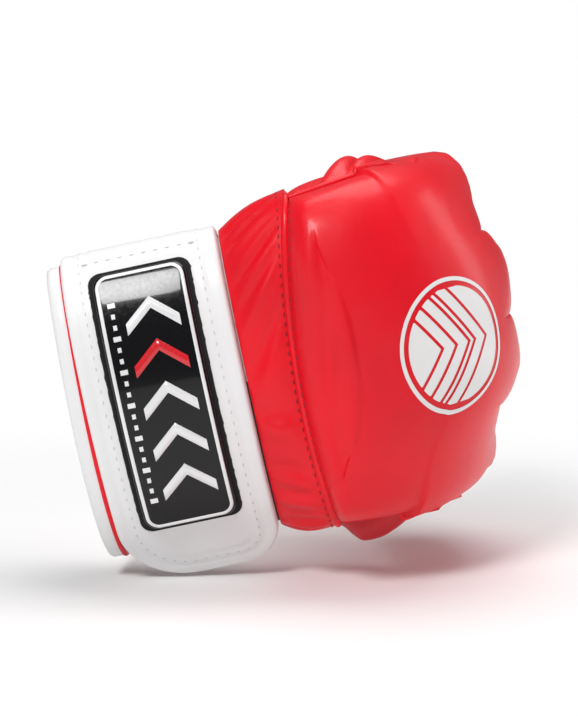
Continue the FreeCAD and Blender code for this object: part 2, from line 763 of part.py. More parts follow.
def swept_bead(label, points, radius):
    """A round bead swept along a smooth curve; its two ends meet beside the cuff."""
    spine = Part.BSplineCurve()
    spine.interpolate([FreeCAD.Vector(*point) for point in points])
    start = spine.value(spine.FirstParameter)
    tangent = spine.tangent(spine.FirstParameter)[0]
    rim = Part.Wire(Part.makeCircle(radius, start, tangent))
    item = doc.addObject("Part::Feature", f"{label}_sweep")
    item.Shape = Part.Wire(spine.toShape()).makePipeShell([rim], True, True)
    return item


front = value("Glove.palm_front")
rear = value("Glove.shell_start + Glove.binding_radius")
palm = value("Glove.palm_depth")
past_palm = value("Glove.palm_thumb_edge + Glove.binding_radius + 1")
wall_edge = value("Glove.thumb_wall")

# The bead's path round the thumb opening: along the glove, towards the palm, towards the thumb.
THUMB_OPENING = [
    (rear + 2, 9.3, wall_edge),
    (rear + 9.5, 10, wall_edge + 0.5),
    (front - 7, 12.5, wall_edge - 4),
    (front - 5, palm - 0.4, 32),
    (front - 2, palm, 18),
    (rear + 7.5, palm, past_palm + 1),
    (rear + 2, palm - 1, 20),
    (rear, 13.2, 36),
    (rear + 0.2, 10.5, wall_edge - 4.5),
]
piece(swept_bead("thumb_opening", THUMB_OPENING, value("Glove.binding_radius")),
      "thumb_opening_binding")


# ---- checks and export ----------------------------------------------------------------

doc.recompute()
failed = [item.Name for item in doc.Objects if {"Invalid", "Error"} & set(item.State)]
failed += [item.Label for item in pieces if item.Shape.isNull() or not item.Shape.isValid()]
if failed:
    raise RuntimeError(f"these objects failed: {failed}")

os.makedirs("parts", exist_ok=True)
for item in pieces:
    item.Shape.exportStep(f"parts/{item.Label}.step")
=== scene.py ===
import json
import math

import bmesh
import bpy
import numpy as np
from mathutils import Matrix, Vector


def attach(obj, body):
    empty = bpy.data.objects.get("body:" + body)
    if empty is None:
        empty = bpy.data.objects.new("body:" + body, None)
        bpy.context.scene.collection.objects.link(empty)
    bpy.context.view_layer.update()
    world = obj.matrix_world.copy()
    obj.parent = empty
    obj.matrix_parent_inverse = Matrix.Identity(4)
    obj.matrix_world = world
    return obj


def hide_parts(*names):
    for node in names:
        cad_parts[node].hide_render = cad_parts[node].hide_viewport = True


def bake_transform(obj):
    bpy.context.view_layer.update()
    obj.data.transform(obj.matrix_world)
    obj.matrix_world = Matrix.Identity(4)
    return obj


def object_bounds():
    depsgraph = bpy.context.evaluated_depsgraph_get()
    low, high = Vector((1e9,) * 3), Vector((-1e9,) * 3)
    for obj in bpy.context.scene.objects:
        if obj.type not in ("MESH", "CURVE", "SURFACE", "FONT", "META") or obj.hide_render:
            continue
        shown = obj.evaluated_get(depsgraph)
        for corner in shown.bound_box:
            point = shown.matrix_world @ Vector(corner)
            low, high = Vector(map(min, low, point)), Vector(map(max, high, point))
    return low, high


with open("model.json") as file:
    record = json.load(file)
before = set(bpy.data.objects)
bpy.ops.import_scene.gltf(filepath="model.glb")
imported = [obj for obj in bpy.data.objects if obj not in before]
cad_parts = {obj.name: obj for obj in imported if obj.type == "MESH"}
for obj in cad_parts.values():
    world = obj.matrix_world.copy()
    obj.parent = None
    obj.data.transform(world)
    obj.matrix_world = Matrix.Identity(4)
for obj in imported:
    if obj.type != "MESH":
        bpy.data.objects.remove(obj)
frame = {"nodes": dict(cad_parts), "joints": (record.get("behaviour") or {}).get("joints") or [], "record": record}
CAD_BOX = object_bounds()

# ---- the glove's own axes -------------------------------------------------------------
# Shapes are drawn in millimetres in the glove's own axes: u along the hand towards the
# knuckles, v across it towards the thumb, w out of the back of the hand. u is 0 at the
# strap's front edge, v is 0 midway between the fingers, w is 0 at the knuckle hinges.

MM = 0.001
FINGERS = ("index", "middle", "ring", "little")
HINGES = {joint["name"]: joint for joint in frame["joints"]}
MOUNTS = {mount["name"]: mount for mount in frame["record"]["mounts"]}

ACROSS = np.array(HINGES["middle_knuckle"]["axis"])
OUT = np.array([0.0, -1.0, 0.0])
ALONG = np.cross(ACROSS, OUT)
AXES = np.array([ALONG, ACROSS, OUT])


def hinge_place(joint):
    return np.array(HINGES[joint]["pos_m"])


def node_vertices(node):
    return np.array([vertex.co for vertex in frame["nodes"][node].data.vertices], float)


def find_origin():
    side_fingers = [hinge_place(f"{name}_knuckle") @ ACROSS for name in ("index", "little")]
    front = (node_vertices("strap_flap") @ ALONG).max()
    back = hinge_place("middle_knuckle") @ OUT
    return front * ALONG + sum(side_fingers) / 2 * ACROSS + back * OUT


ORIGIN = find_origin()


def to_glove(places):
    return (np.asarray(places, float) - ORIGIN) @ AXES.T / MM


def to_frame(points):
    return ORIGIN + (np.asarray(points, float) @ AXES) * MM


def node_box(*nodes):
    """Lowest and highest corner of some CAD nodes in the glove's own axes."""
    points = np.vstack([to_glove(node_vertices(node)) for node in nodes])
    return points.min(0), points.max(0)


# ---- sizes read from the frame --------------------------------------------------------

ARC_RADIUS = 55.0            # outer curve over the knuckles, about a line behind the hinge
ARC_BEHIND = 26.0
ARC_BELOW = 17.0
CROWN = ARC_RADIUS - ARC_BELOW
ARC_END = math.radians(100)
PAD_HALF = 14.0


class Finger:
    """Hinge place, sleeve direction and length of one finger."""

    def __init__(self, name):
        hinge = to_glove(hinge_place(f"{name}_knuckle"))
        mount = MOUNTS[f"{name}_finger_sleeve"]
        middle = to_glove(mount["pos_m"])
        reach = middle[[0, 2]] - hinge[[0, 2]]
        self.name = name
        self.body = f"{name}_finger"
        self.hinge = hinge[[0, 2]]
        self.centre = hinge[1]
        self.crown = hinge[0] - ARC_BEHIND
        self.length = np.linalg.norm(reach) + mount["dims"]["length_mm"] / 2
        self.along = reach / np.linalg.norm(reach)
        self.outward = np.array([-self.along[1], self.along[0]])
        self.bore = mount["dims"]["r_mm"]
        self.seed = self.centre * 0.37


HAND = {name: Finger(name) for name in FINGERS}
CUFF_LOW, CUFF_HIGH = node_box("cuff_band")
REAR_RIM = node_box("cuff_binding")[0][0]
STRAP_LOW, STRAP_HIGH = node_box("strap_flap", "strap_anchor")
BADGE_LOW, BADGE_HIGH = node_box("badge_backing")
PALM_LOW, PALM_HIGH = node_box("palm_panel")
WRIST_V, WRIST_W = (CUFF_LOW[1:] + CUFF_HIGH[1:]) / 2
STRAP_HALF_V, STRAP_HALF_W = STRAP_HIGH[1:] - (WRIST_V, WRIST_W)
STRAP_REAR = STRAP_LOW[0]
STRAP_END_V = node_box("strap_tip")[0][1]
FOLD = to_glove(hinge_place("strap_fold"))
PEEL = to_glove(hinge_place("strap_peel"))


# ---- shape helpers --------------------------------------------------------------------

def smoothstep(x):
    x = np.clip(x, 0, 1)
    return x * x * (3 - 2 * x)


def signed_power(x, power):
    return np.sign(x) * np.abs(x) ** power


def unit(vectors):
    return vectors / (np.linalg.norm(vectors, axis=-1, keepdims=True) + 1e-12)


def stack(u, v, w):
    """Points from their three coordinates, each a number or an array."""
    return np.stack(np.broadcast_arrays(u, v, w), -1).astype(float)


def evenly(count, column=False):
    """Shares from 0 to 1, as a row or as a column."""
    shares = np.linspace(0, 1, count)
    return shares[:, None] if column else shares


def full_turn(count):
    return np.linspace(0, 2 * math.pi, count, endpoint=False)


def arc_degrees(start, stop, count):
    """Angles between two given in degrees."""
    return np.linspace(math.radians(start), math.radians(stop), count)


def soft_noise(across, along):
    """Smooth repeatable ripple made of a few sine waves."""
    waves = ((1.0, 0.6, 0.3), (0.53, -1.21, 1.7), (1.73, 0.37, 4.1), (-0.81, 1.63, 2.2))
    return sum(np.sin(fu * across + fv * along + phase + number)
               for number, (fu, fv, phase) in enumerate(waves)) / len(waves)


def travelled(line):
    """Distance from a line's start to each of its points."""
    steps = np.linalg.norm(np.diff(line, axis=0), axis=1)
    return np.concatenate([[0], np.cumsum(steps)])


def interpolated(values, places, at):
    """Each column of values, known at some places, read at other places."""
    return np.stack([np.interp(at, places, column) for column in values.T], -1)


def along_line(line, distances):
    return interpolated(line, travelled(line), distances)


def resample(line, pitch):
    """Points at equal steps along a line, about one pitch apart."""
    total = travelled(line)[-1]
    return along_line(line, np.linspace(0, total, max(2, int(round(total / pitch))) + 1))


# ---- mesh helpers ---------------------------------------------------------------------

def new_object(name, points, faces):
    mesh = bpy.data.meshes.new(name)
    mesh.from_pydata(to_frame(points).tolist(), [], [list(face) for face in faces])
    mesh.validate()
    mesh.polygons.foreach_set("use_smooth", [True] * len(mesh.polygons))
    piece = bpy.data.objects.new(name, mesh)
    bpy.context.scene.collection.objects.link(piece)
    return piece


def quads(rows, columns, start=0, wrap=False):
    """Faces of a grid of vertices, optionally joined in a loop along its columns."""
    faces = []
    for row in range(rows - 1):
        for column in range(columns if wrap else columns - 1):
            a = start + row * columns + column
            b = start + row * columns + (column + 1) % columns
            faces.append((a, b, b + columns, a + columns))
    return faces


def cap(start, count):
    """The corners of a flat end, given its first vertex."""
    return tuple(range(start, start + count))


def grid(name, points, capped=False):
    """A tube through rings of points; caps close its first and last rings."""
    rows, columns = points.shape[:2]
    faces = quads(rows, columns, wrap=True)
    if capped:
        faces += [cap(0, columns)[::-1], cap((rows - 1) * columns, columns)]
    return outward(new_object(name, points.reshape(-1, 3), faces))


def outward(piece):
    """Merges matching points, turns all faces outwards and keeps sharp corners sharp."""
    work = bmesh.new()
    work.from_mesh(piece.data)
    bmesh.ops.remove_doubles(work, verts=work.verts, dist=2e-6)
    bmesh.ops.dissolve_degenerate(work, edges=work.edges, dist=1e-7)
    bmesh.ops.recalc_face_normals(work, faces=work.faces)
    for edge in work.edges:
        edge.smooth = len(edge.link_faces) != 2 or edge.calc_face_angle(0) < math.radians(60)
    work.to_mesh(piece.data)
    work.free()
    piece.data.polygons.foreach_set("use_smooth", [True] * len(piece.data.polygons))
    return piece


def closed_sheet(name, top, bottom):
    """A solid between two grids of the same size, closed round its border."""
    rows, columns = top.shape[:2]
    count = rows * columns
    faces = quads(rows, columns)
    faces += [face[::-1] for face in quads(rows, columns, start=count)]
    numbers = np.arange(count).reshape(rows, columns)
    border = np.concatenate([numbers[0], numbers[1:, -1], numbers[-1, -2::-1],
                             numbers[-2:0:-1, 0]]).tolist()
    for a, b in zip(border, border[1:] + border[:1]):
        faces.append((a, a + count, b + count, b))
    points = np.concatenate([top.reshape(-1, 3), bottom.reshape(-1, 3)])
    return outward(new_object(name, points, faces))


def tangents(path, closed):
    """The way a path runs at each of its points."""
    return unit(np.roll(path, -1, 0) - np.roll(path, 1, 0) if closed else np.gradient(path, axis=0))


def swept(name, path, side, rise, across, height, closed):
    """A closed section carried along a path, capped at its ends or joined in a loop."""
    rings = (path[:, None] + across[..., None] * side[:, None]
             + height[..., None] * rise[:, None])
    if closed:
        rings = np.concatenate([rings, rings[:1]])
    return grid(name, rings, capped=not closed)


def tube(name, path, radius, sides, up, flatten=1.0, closed=False):
    """A round or flattened bead along a path."""
    ahead = tangents(path, closed)
    side = unit(np.cross(ahead, np.broadcast_to(up, path.shape)))
    turn = full_turn(sides)
    radius = np.broadcast_to(radius, (len(path),))[:, None]
    return swept(name, path, side, np.cross(side, ahead), radius * np.cos(turn),
                 radius * flatten * np.sin(turn), closed)


def ribbon(name, path, normals, width, thickness):
    """A closed loop of flat binding folded over an edge, with a sewn groove in its face."""
    side = unit(np.cross(tangents(path, True), normals))
    turn = full_turn(28)
    across = signed_power(np.cos(turn), 0.55) * width / 2
    groove = 0.28 * np.exp(-((across + width * 0.22) / 0.7) ** 2) * (np.sin(turn) > 0)
    height = signed_power(np.sin(turn), 0.8) * thickness / 2 - groove
    return swept(name, path, side, unit(normals), across[None], height[None], True)


def stitches(name, rows, pitch=3.2, share=0.62, radius=0.28):
    """Short thread stitches along rows of (path, way out), dipping in at both ends."""
    vertices, faces = [], []
    sides, segments, sink = 6, 7, 0.05
    turn = full_turn(sides)
    for path, way in rows:
        both = np.concatenate([path, np.broadcast_to(way, path.shape)], 1)
        travel = travelled(path)
        total = travel[-1]
        count = max(1, int(total / pitch))
        for number in range(count):
            begin = (number + (1 - share) / 2) * total / count
            stop = begin + share * total / count
            at = np.linspace(begin, stop, segments)
            middle = interpolated(both, travel, at)
            out = unit(middle[:, 3:])
            side = np.cross(unit(middle[-1, :3] - middle[0, :3]), out)
            arch = 1 - (2 * (at - begin) / (stop - begin) - 1) ** 2
            centre = middle[:, :3] + out * (radius * (1.2 * arch - 1.0) - sink)[:, None]
            thick = radius * (0.55 + 0.45 * np.sqrt(np.clip(arch, 0, 1)))[:, None]
            ring = centre[:, None] + (thick * np.cos(turn))[..., None] * side[:, None] + (
                thick * np.sin(turn))[..., None] * out[:, None]
            start = len(vertices)
            vertices.extend(ring.reshape(-1, 3))
            faces += quads(segments, sides, start=start, wrap=True)
            faces += [cap(start, sides)[::-1], cap(start + (segments - 1) * sides, sides)]
    return new_object(name, np.array(vertices), faces)


# ---- materials ------------------------------------------------------------------------

def join(tree, node, inputs):
    """Sets a node's inputs, each to a plain value or to another node's output."""
    for socket, value in inputs.items():
        if isinstance(value, bpy.types.NodeSocket):
            tree.links.new(value, node.inputs[socket])
        else:
            node.inputs[socket].default_value = value


def add_node(tree, kind, inputs, **settings):
    """A new node with its settings and inputs."""
    node = tree.nodes.new(f"ShaderNode{kind}")
    for name, setting in settings.items():
        setattr(node, name, setting)
    join(tree, node, inputs)
    return node


def shader(name, base, roughness, bump_scale, bump_strength, *, pattern="grain",
           variation=0.12, patch_scale=28.0, bump_depth=0.0003, ripple=0.25, ripple_scale=60.0,
           ripple_detail=3.0, sockets=None):
    """A surface with fine grain, broad colour variation and its own bump."""
    material = bpy.data.materials.new(name)
    material.use_nodes = True
    tree = material.node_tree
    place = add_node(tree, "TexCoord", {}).outputs["Object"]

    def noise(scale, detail=3.0, rough=0.55):
        return add_node(tree, "TexNoise", {"Scale": scale, "Detail": detail, "Roughness": rough,
                                           "Vector": place})

    def mapped(value, low, high):
        return add_node(tree, "MapRange", {"Value": value.outputs["Fac"], "From Min": 0.3,
                                           "From Max": 0.7, "To Min": low, "To Max": high}
                        ).outputs["Result"]

    def height():
        if pattern == "noise":
            return noise(bump_scale, 6.0, 0.7).outputs["Fac"]
        if pattern == "weave":
            waves = [add_node(tree, "TexWave", {"Scale": bump_scale, "Distortion": 0.6,
                                                "Vector": place},
                              wave_type="BANDS", bands_direction=way) for way in ("X", "Z")]
            threads = {number: wave.outputs["Fac"] for number, wave in enumerate(waves)}
            return add_node(tree, "Math", threads, operation="MAXIMUM").outputs[0]
        wobble = noise(bump_scale * 0.5, 2.0).outputs["Color"]
        shift = add_node(tree, "Mix", {"Factor": 0.004, "A": place, "B": wobble},
                         data_type="VECTOR")
        cells = add_node(tree, "TexVoronoi", {"Scale": bump_scale,
                                              "Vector": shift.outputs["Result"]},
                         feature="DISTANCE_TO_EDGE")
        return add_node(tree, "MapRange", {"Value": cells.outputs["Distance"],
                                           "From Max": 0.12}).outputs["Result"]

    shades = [(*[min(1, c * (1 + change)) for c in base], 1) for change in (-variation, variation)]
    tint = add_node(tree, "Mix", {"Factor": mapped(noise(patch_scale, 4.0), 0.0, 1.0),
                                  "A": shades[0], "B": shades[1]}, data_type="RGBA")
    fine = mapped(noise(bump_scale * 1.7, 5.0, 0.6), roughness - 0.06, roughness + 0.08)
    soft = add_node(tree, "Bump", {"Strength": ripple, "Distance": 0.0012, "Height": noise(
        ripple_scale, ripple_detail).outputs["Fac"]})
    bump = add_node(tree, "Bump", {"Strength": bump_strength, "Distance": bump_depth,
                                   "Height": height(), "Normal": soft.outputs["Normal"]})
    join(tree, tree.nodes["Principled BSDF"], {
        "Base Color": tint.outputs["Result"], "Roughness": fine,
        "Normal": bump.outputs["Normal"], **(sockets or {})})
    return material


LEATHER = {"Coat Weight": 0.22, "Coat Roughness": 0.22, "Specular IOR Level": 0.24}
GLASSY = {"Coat Weight": 0.35, "Coat Roughness": 0.05, "Specular IOR Level": 0.2}
RED = shader("red_leather", (0.78, 0.003, 0.014), 0.33, 1500, 0.22,
             sockets=LEATHER, variation=0.08)
# A darker copy of the red leather: painted shade for the side wall under the little finger.
SHADED_RED = shader("dark_red_leather", (0.52, 0.008, 0.016), 0.45, 1500, 0.22,
                  sockets=LEATHER, variation=0.10)
RAW_RED = shader("raw_red_edge", (0.50, 0.035, 0.04), 0.85, 900, 0.8,
                 pattern="noise", variation=0.35, patch_scale=400)
RED_THREAD = shader("red_thread", (0.30, 0.006, 0.012), 0.6, 4000, 0.5,
                    pattern="noise")
WHITE = shader("white_leather", (0.84, 0.84, 0.845), 0.44, 1300, 0.22,
               sockets=LEATHER, variation=0.02, ripple=0.35)
WHITE_THREAD = shader("white_thread", (0.62, 0.62, 0.62), 0.7, 4000, 0.5,
                      pattern="noise")
BLACK = shader("black_lining", (0.017, 0.017, 0.018), 0.75, 900, 0.5,
               pattern="noise", sockets={"Sheen Weight": 0.3})
FLEECE = shader("finger_lining", (0.055, 0.058, 0.062), 0.95, 700, 1.0,
                pattern="noise", variation=0.5, patch_scale=500, bump_depth=0.0008,
                sockets={"Sheen Weight": 0.5})
PILE = shader("hook_and_loop", (0.012, 0.012, 0.013), 0.95, 1200, 1.0,
              pattern="noise", bump_depth=0.0008, sockets={"Sheen Weight": 0.4})
BACKING = shader("badge_fabric", (0.010, 0.010, 0.011), 0.85, 1500, 0.8,
                 pattern="weave", variation=0.3)
GLOSS = shader("badge_gloss", (0.004, 0.004, 0.005), 0.16, 500, 0.02,
               pattern="noise", ripple=0.8, ripple_scale=38, ripple_detail=0.5, sockets=GLASSY)
PRINT = shader("badge_print", (0.80, 0.80, 0.81), 0.22, 800, 0.1,
               pattern="noise", sockets={"Coat Weight": 0.6})
RED_PRINT = shader("badge_red_print", (0.70, 0.010, 0.02), 0.22, 800, 0.1,
                   pattern="noise", sockets={"Coat Weight": 0.6})
INK = shader("emblem_ink", (0.82, 0.80, 0.80), 0.42, 1500, 0.2, variation=0.05)


def finish(piece, material, moves_with, *stands_for, slot=None):
    """Gives a piece its material and makes it move with a body or along a bend; its slot argument is not used."""
    piece.data.materials.clear()
    piece.data.materials.append(material)
    if stands_for:
        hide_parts(*stands_for)
    if isinstance(moves_with, str):
        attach(piece, moves_with)
    else:
        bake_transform(piece)


# ---- padded shell ---------------------------------------------------------------------

# The wrist seam runs over the back of the hand as a shallow curve: its place along the hand
# near the little edge, the middle and the thumb edge.
SEAM_U = np.polyfit([-54.0, -2.5, 52.0], [19.0, 16.5, 24.0], 2)
SECTION_HALF = 54.5
SECTION_TOP = 22.0
SECTION_PALM = 19.0
CROWN_DROP = 22.0
PAD_BOTTOM = 13.4
SLEEVE_RADIUS = 12.0
REST_RADIUS = 12.1
MOUTH_THICKNESS = 2.2
GATHER_LENGTH = 26.0
WRAP_START, WRAP_SPREAD = 3.0, 30.0
WRAP_HALF_ANGLE = math.radians(84)
WRIST_SHARE = 0.91           # the hand's width at the wrist seam, as a share of the knuckles'
WIDEN_FROM, WIDEN_RUN = 17, 48
PARTING, PARTING_RUN = 57, 62      # travel past the crown at which the fingers' pads part
SHELL_ROWS, PAD_ROWS, RISE_ROWS = 56, 120, 45
NEAR_CUT = np.array([0.05, 0.16, 0.45, 1.0])   # rows this close to the cut keep the shading even
INNER = slice(3, -3)         # columns of a pad that its lining covers
LINED_ROWS = 34
FLOOR_EASES = 120 / 26       # a pad's length over the length in which its floor meets the sleeve
SKIRT_SIDES = {"index": -1, "little": 0}

# The bend at a knuckle spreads along this direction in the glove's side view. The shell is
# cut square to it, so the cut's own points don't move at any pose.
BEND_WAY = np.array([0.6, -0.8])
CUT_BEFORE_HINGE = -33.7
CUT_LATER_AT_SIDES = 8.0
BEND_PAST_HINGE = 30.0

SPREAD = np.sin(np.linspace(-1, 1, 27) * math.pi / 2)      # places across one finger's strip


def seam_along(v):
    return np.polyval(SEAM_U, v)


def widening(u):
    """Share of the full width that the hand has at a place along it."""
    return WRIST_SHARE + (1 - WRIST_SHARE) * np.clip((u - WIDEN_FROM) / WIDEN_RUN, 0, 1)


def shared_crown(v, spread=13.0):
    """The crown's place along the hand, varying smoothly from finger to finger."""
    weights = {name: np.exp(-((v - f.centre) / spread) ** 2 / 2) for name, f in HAND.items()}
    return sum(weights[name] * HAND[name].crown for name in FINGERS) / sum(weights.values())


def hand_drop(v):
    """How far the pillow falls away towards its two sides."""
    share = np.clip(np.abs(v) / (4 * PAD_HALF), 0, 1)
    return CROWN_DROP * (1 - (1 - share ** 3) ** (1 / 3))


def leather_ripple(u, v, w):
    """Slight unevenness of stuffed leather, in millimetres."""
    broad = 0.30 * soft_noise(u * 0.09 + w * 0.07, v * 0.10)
    return broad + 0.10 * soft_noise(u * 0.31 + w * 0.22 + 1, v * 0.27)


def pad_edge(beyond_seam, v):
    """Depth of the soft valley that runs beside the wrist seam, where the padding begins."""
    place = 9.5 + 0.05 * v + 0.8 * np.sin(v * 0.11)
    deep = (1.5 + 0.5 * np.sin(v * 0.16 + 1)) * (1 - np.abs(v / 56) ** 4)
    valley = np.exp(-((beyond_seam - place) / 2.6) ** 2)
    ridge = np.exp(-((beyond_seam - place - 6.5) / 4.5) ** 2)
    return deep * (valley - 0.45 * ridge)


def outer_line(finger):
    """Crest of one finger's strip: points, normals, distance travelled and pad thickness."""
    end_travel = ARC_RADIUS * ARC_END
    centre = finger.hinge - (ARC_BEHIND, ARC_BELOW)
    end = centre + ARC_RADIUS * np.array([math.sin(ARC_END), math.cos(ARC_END)])
    direction = np.array([math.cos(ARC_END), -math.sin(ARC_END)])
    straight = (finger.length - (end - finger.hinge) @ finger.along) / (direction @ finger.along)
    travel = np.concatenate([np.linspace(0, end_travel, 130),
                             np.linspace(end_travel, end_travel + straight, 90)[1:]])
    theta = np.minimum(travel / ARC_RADIUS, ARC_END)
    normal = np.stack([np.sin(theta), np.cos(theta)], 1)
    beyond = np.maximum(travel - end_travel, 0)[:, None]
    crest = centre + ARC_RADIUS * normal + beyond * direction
    local = crest - finger.hinge
    distance = np.where(local @ finger.along > 0, local @ finger.outward,
                        np.linalg.norm(local, axis=1))
    return travel, crest, normal, distance - REST_RADIUS


def wrap_share(along):
    """How much a pad follows the sleeve's roundness at a distance along the finger."""
    return smoothstep((along - WRAP_START) / WRAP_SPREAD)[..., None]


def sleeve_squash(finger, angle, along):
    """Unevenness of a sleeve's roundness, growing towards its open end."""
    near_mouth = smoothstep((along / finger.length - 0.55) / 0.45)
    return 1 + near_mouth * (0.05 * np.cos(2 * angle + 0.6)
                             + 0.035 * np.sin(3 * angle + finger.seed)
                             + 0.02 * np.sin(5 * angle + 2 * finger.seed))


def sleeve_point(finger, along, angle, radius):
    """A point round a sleeve; angle 0 faces the finger's back, 180 degrees the palm side."""
    out = radius * np.cos(angle)
    u, w = (finger.hinge[k] + along * finger.along[k] + out * finger.outward[k] for k in (0, 1))
    return stack(u, finger.centre + radius * np.sin(angle), w)


def wrapped_point(finger, along, column, thickness):
    """A point of a pad laid round the sleeve, kept within the finger's own width."""
    angle = column * WRAP_HALF_ANGLE
    radius = SLEEVE_RADIUS * sleeve_squash(finger, angle, along) + 0.08 + thickness
    point = sleeve_point(finger, along, angle, radius)
    aside = point[..., 1] - finger.centre
    point[..., 1] = finger.centre + aside / (1 + np.abs(aside / (PAD_HALF - 0.1)) ** 6) ** (1 / 6)
    return point


def strip_rise(v):
    """The strip's back of the hand, from the wrist seam up to the crown."""
    crown, start = shared_crown(v), seam_along(v)
    share = np.clip(np.abs(v * WRIST_SHARE) / SECTION_HALF, 0, 1)
    foot = WRIST_W + SECTION_TOP * (1 - share ** 4) ** 0.25
    climb = np.linspace(0, math.pi / 2, RISE_ROWS + 1)[:-1, None]
    u = start + (crown - start) * (1 - np.cos(climb)) ** 0.95
    w = foot + (CROWN - hand_drop(v) - foot) * np.sin(climb) ** 0.85
    return stack(u, v, w - pad_edge(u - start, v))


def strip_front(finger, v):
    """The strip's knuckle and finger, which gather towards the open end, and their normals."""
    travel, crest, normal, thickness = outer_line(finger)
    merge = smoothstep((travel - PARTING) / PARTING_RUN)[:, None]
    to_end = np.clip((travel - travel[-1] + GATHER_LENGTH) / GATHER_LENGTH, 0, 1)[:, None]
    full = thickness[:, None]
    slim = MOUTH_THICKNESS + (full - MOUTH_THICKNESS) * (1 - to_end ** 1.9) ** (1 / 1.9)
    power = 3.0 - 0.6 * to_end
    profile = (1 - np.abs(SPREAD) ** power) ** (1 / power)
    own = (full - slim) + slim * (1 - profile)
    gathers = 0.9 * smoothstep((to_end - 0.2) / 0.8) * np.cos(SPREAD * 12 + finger.centre)
    hem = smoothstep((to_end - 0.1) / 0.4) * (1 - smoothstep((to_end - 0.5) / 0.4))
    drop = (1 - merge) * hand_drop(v) + merge * own - gathers * (1 - SPREAD ** 4) + 0.55 * hem
    ahead = (1 - merge) * (shared_crown(v) - finger.crown)
    front = stack(crest[:, :1] + ahead - drop * normal[:, :1],
                  finger.centre + PAD_HALF * SPREAD * (1 - 0.07 * to_end ** 2),
                  crest[:, 1:] - drop * normal[:, 1:])
    along = ((crest - finger.hinge) @ finger.along)[:, None] + 0 * SPREAD
    wrapped = wrapped_point(finger, along, SPREAD + 0 * along, (slim + gathers) * profile)
    wrap = wrap_share(along)
    return (1 - wrap) * front + wrap * wrapped, normal


def strip(finger):
    """Outer face of one finger's share of the shell, from the wrist seam to the tip."""
    v = finger.centre + PAD_HALF * SPREAD
    front, normal = strip_front(finger, v)
    points = np.concatenate([strip_rise(v), front])
    width = widening(points[..., 0])
    width[RISE_ROWS + 40:] = 1
    points[..., 1] *= np.maximum.accumulate(width, axis=0)
    across, up = np.zeros((2, len(points), 1))
    up[:RISE_ROWS] = np.linspace(0, 1, RISE_ROWS)[:, None]
    across[RISE_ROWS:], up[RISE_ROWS:] = normal[:, :1], normal[:, 1:]
    ripple = leather_ripple(*np.moveaxis(points, 2, 0))
    points[..., 0] += ripple * across
    points[..., 2] += ripple * up
    return points


def cut_level(v):
    """Where the shell ends and the pads begin, measured along the bend; later at the sides."""
    later = CUT_LATER_AT_SIDES * smoothstep((np.abs(v) - 40) / 16)
    return BEND_WAY[0] * (shared_crown(v) + ARC_BEHIND) + CUT_BEFORE_HINGE + later


def cut_floor(level):
    """The cut's place along the hand at the height of the padding's inner face."""
    return (level - BEND_WAY[1] * PAD_BOTTOM) / BEND_WAY[0]


def cut_distance(line, level):
    """Distance along a column at which it crosses the cut."""
    travel = travelled(line)
    reach = line[:, [0, 2]] @ BEND_WAY
    past = int(np.argmax(reach > level))
    share = (level - reach[past - 1]) / (reach[past] - reach[past - 1])
    return travel[past - 1] + share * (travel[past] - travel[past - 1])


def finger_blend(finger):
    """Start and end of the bend at one knuckle."""
    first = cut_level(finger.centre + PAD_HALF * SPREAD).max() + 0.05
    last = finger.hinge @ BEND_WAY + BEND_PAST_HINGE
    ends = [(BEND_WAY[0] * level, finger.centre, BEND_WAY[1] * level) for level in (first, last)]
    return ("hand", finger.body, *ends)


def pad_floor(finger, crest, first_u):
    """Inner face of a finger's pad, where it lies on the sleeve."""
    local = crest - finger.hinge
    along = local @ finger.along
    angle = np.arctan2(local[:, 0], local[:, 1])
    round_hinge = finger.hinge + REST_RADIUS * np.stack([np.sin(angle), np.cos(angle)], 1)
    on_sleeve = (finger.hinge + np.clip(along, 0, finger.length - 0.5)[:, None] * finger.along
                 + REST_RADIUS * finger.outward)
    inner = np.where((along > 0)[:, None], on_sleeve, round_hinge)
    ease = smoothstep(np.linspace(0, FLOOR_EASES, PAD_ROWS))[:, None]
    return (1 - ease) * (first_u, PAD_BOTTOM) + ease * inner


def off_the_finger(finger, points):
    """Height of points over the finger's middle line, and the way that height points."""
    local = points[..., [0, 2]] - finger.hinge
    way = np.where((local @ finger.along > 0)[..., None], finger.outward, unit(local))
    return (local * way).sum(-1), way


def kept_inside(finger, bottom, top, least=0.6):
    """The pad's inner face, moved in where it would stand outside the outer one."""
    low, way = off_the_finger(finger, bottom)
    high, _ = off_the_finger(finger, top)
    bottom[..., [0, 2]] -= np.clip(low - high + least, 0, np.maximum(low - 2, 0))[..., None] * way
    return bottom


def split_at_cut(points, levels):
    """The part of a strip before the cut and the part after it, column by column."""
    backs, pads = [], []
    for line, level in zip(np.moveaxis(points, 1, 0), levels):
        cut, end = cut_distance(line, level), travelled(line)[-1]
        before = np.linspace(0, cut - 2, SHELL_ROWS - len(NEAR_CUT) - 1)
        after = np.linspace(cut + 2, end, PAD_ROWS - len(NEAR_CUT) - 1)
        backs.append(along_line(line, np.concatenate([before, cut - NEAR_CUT[::-1], [cut]])))
        pads.append(along_line(line, np.concatenate([[cut], cut + NEAR_CUT, after])))
    return np.stack(backs, 1), np.stack(pads, 1)


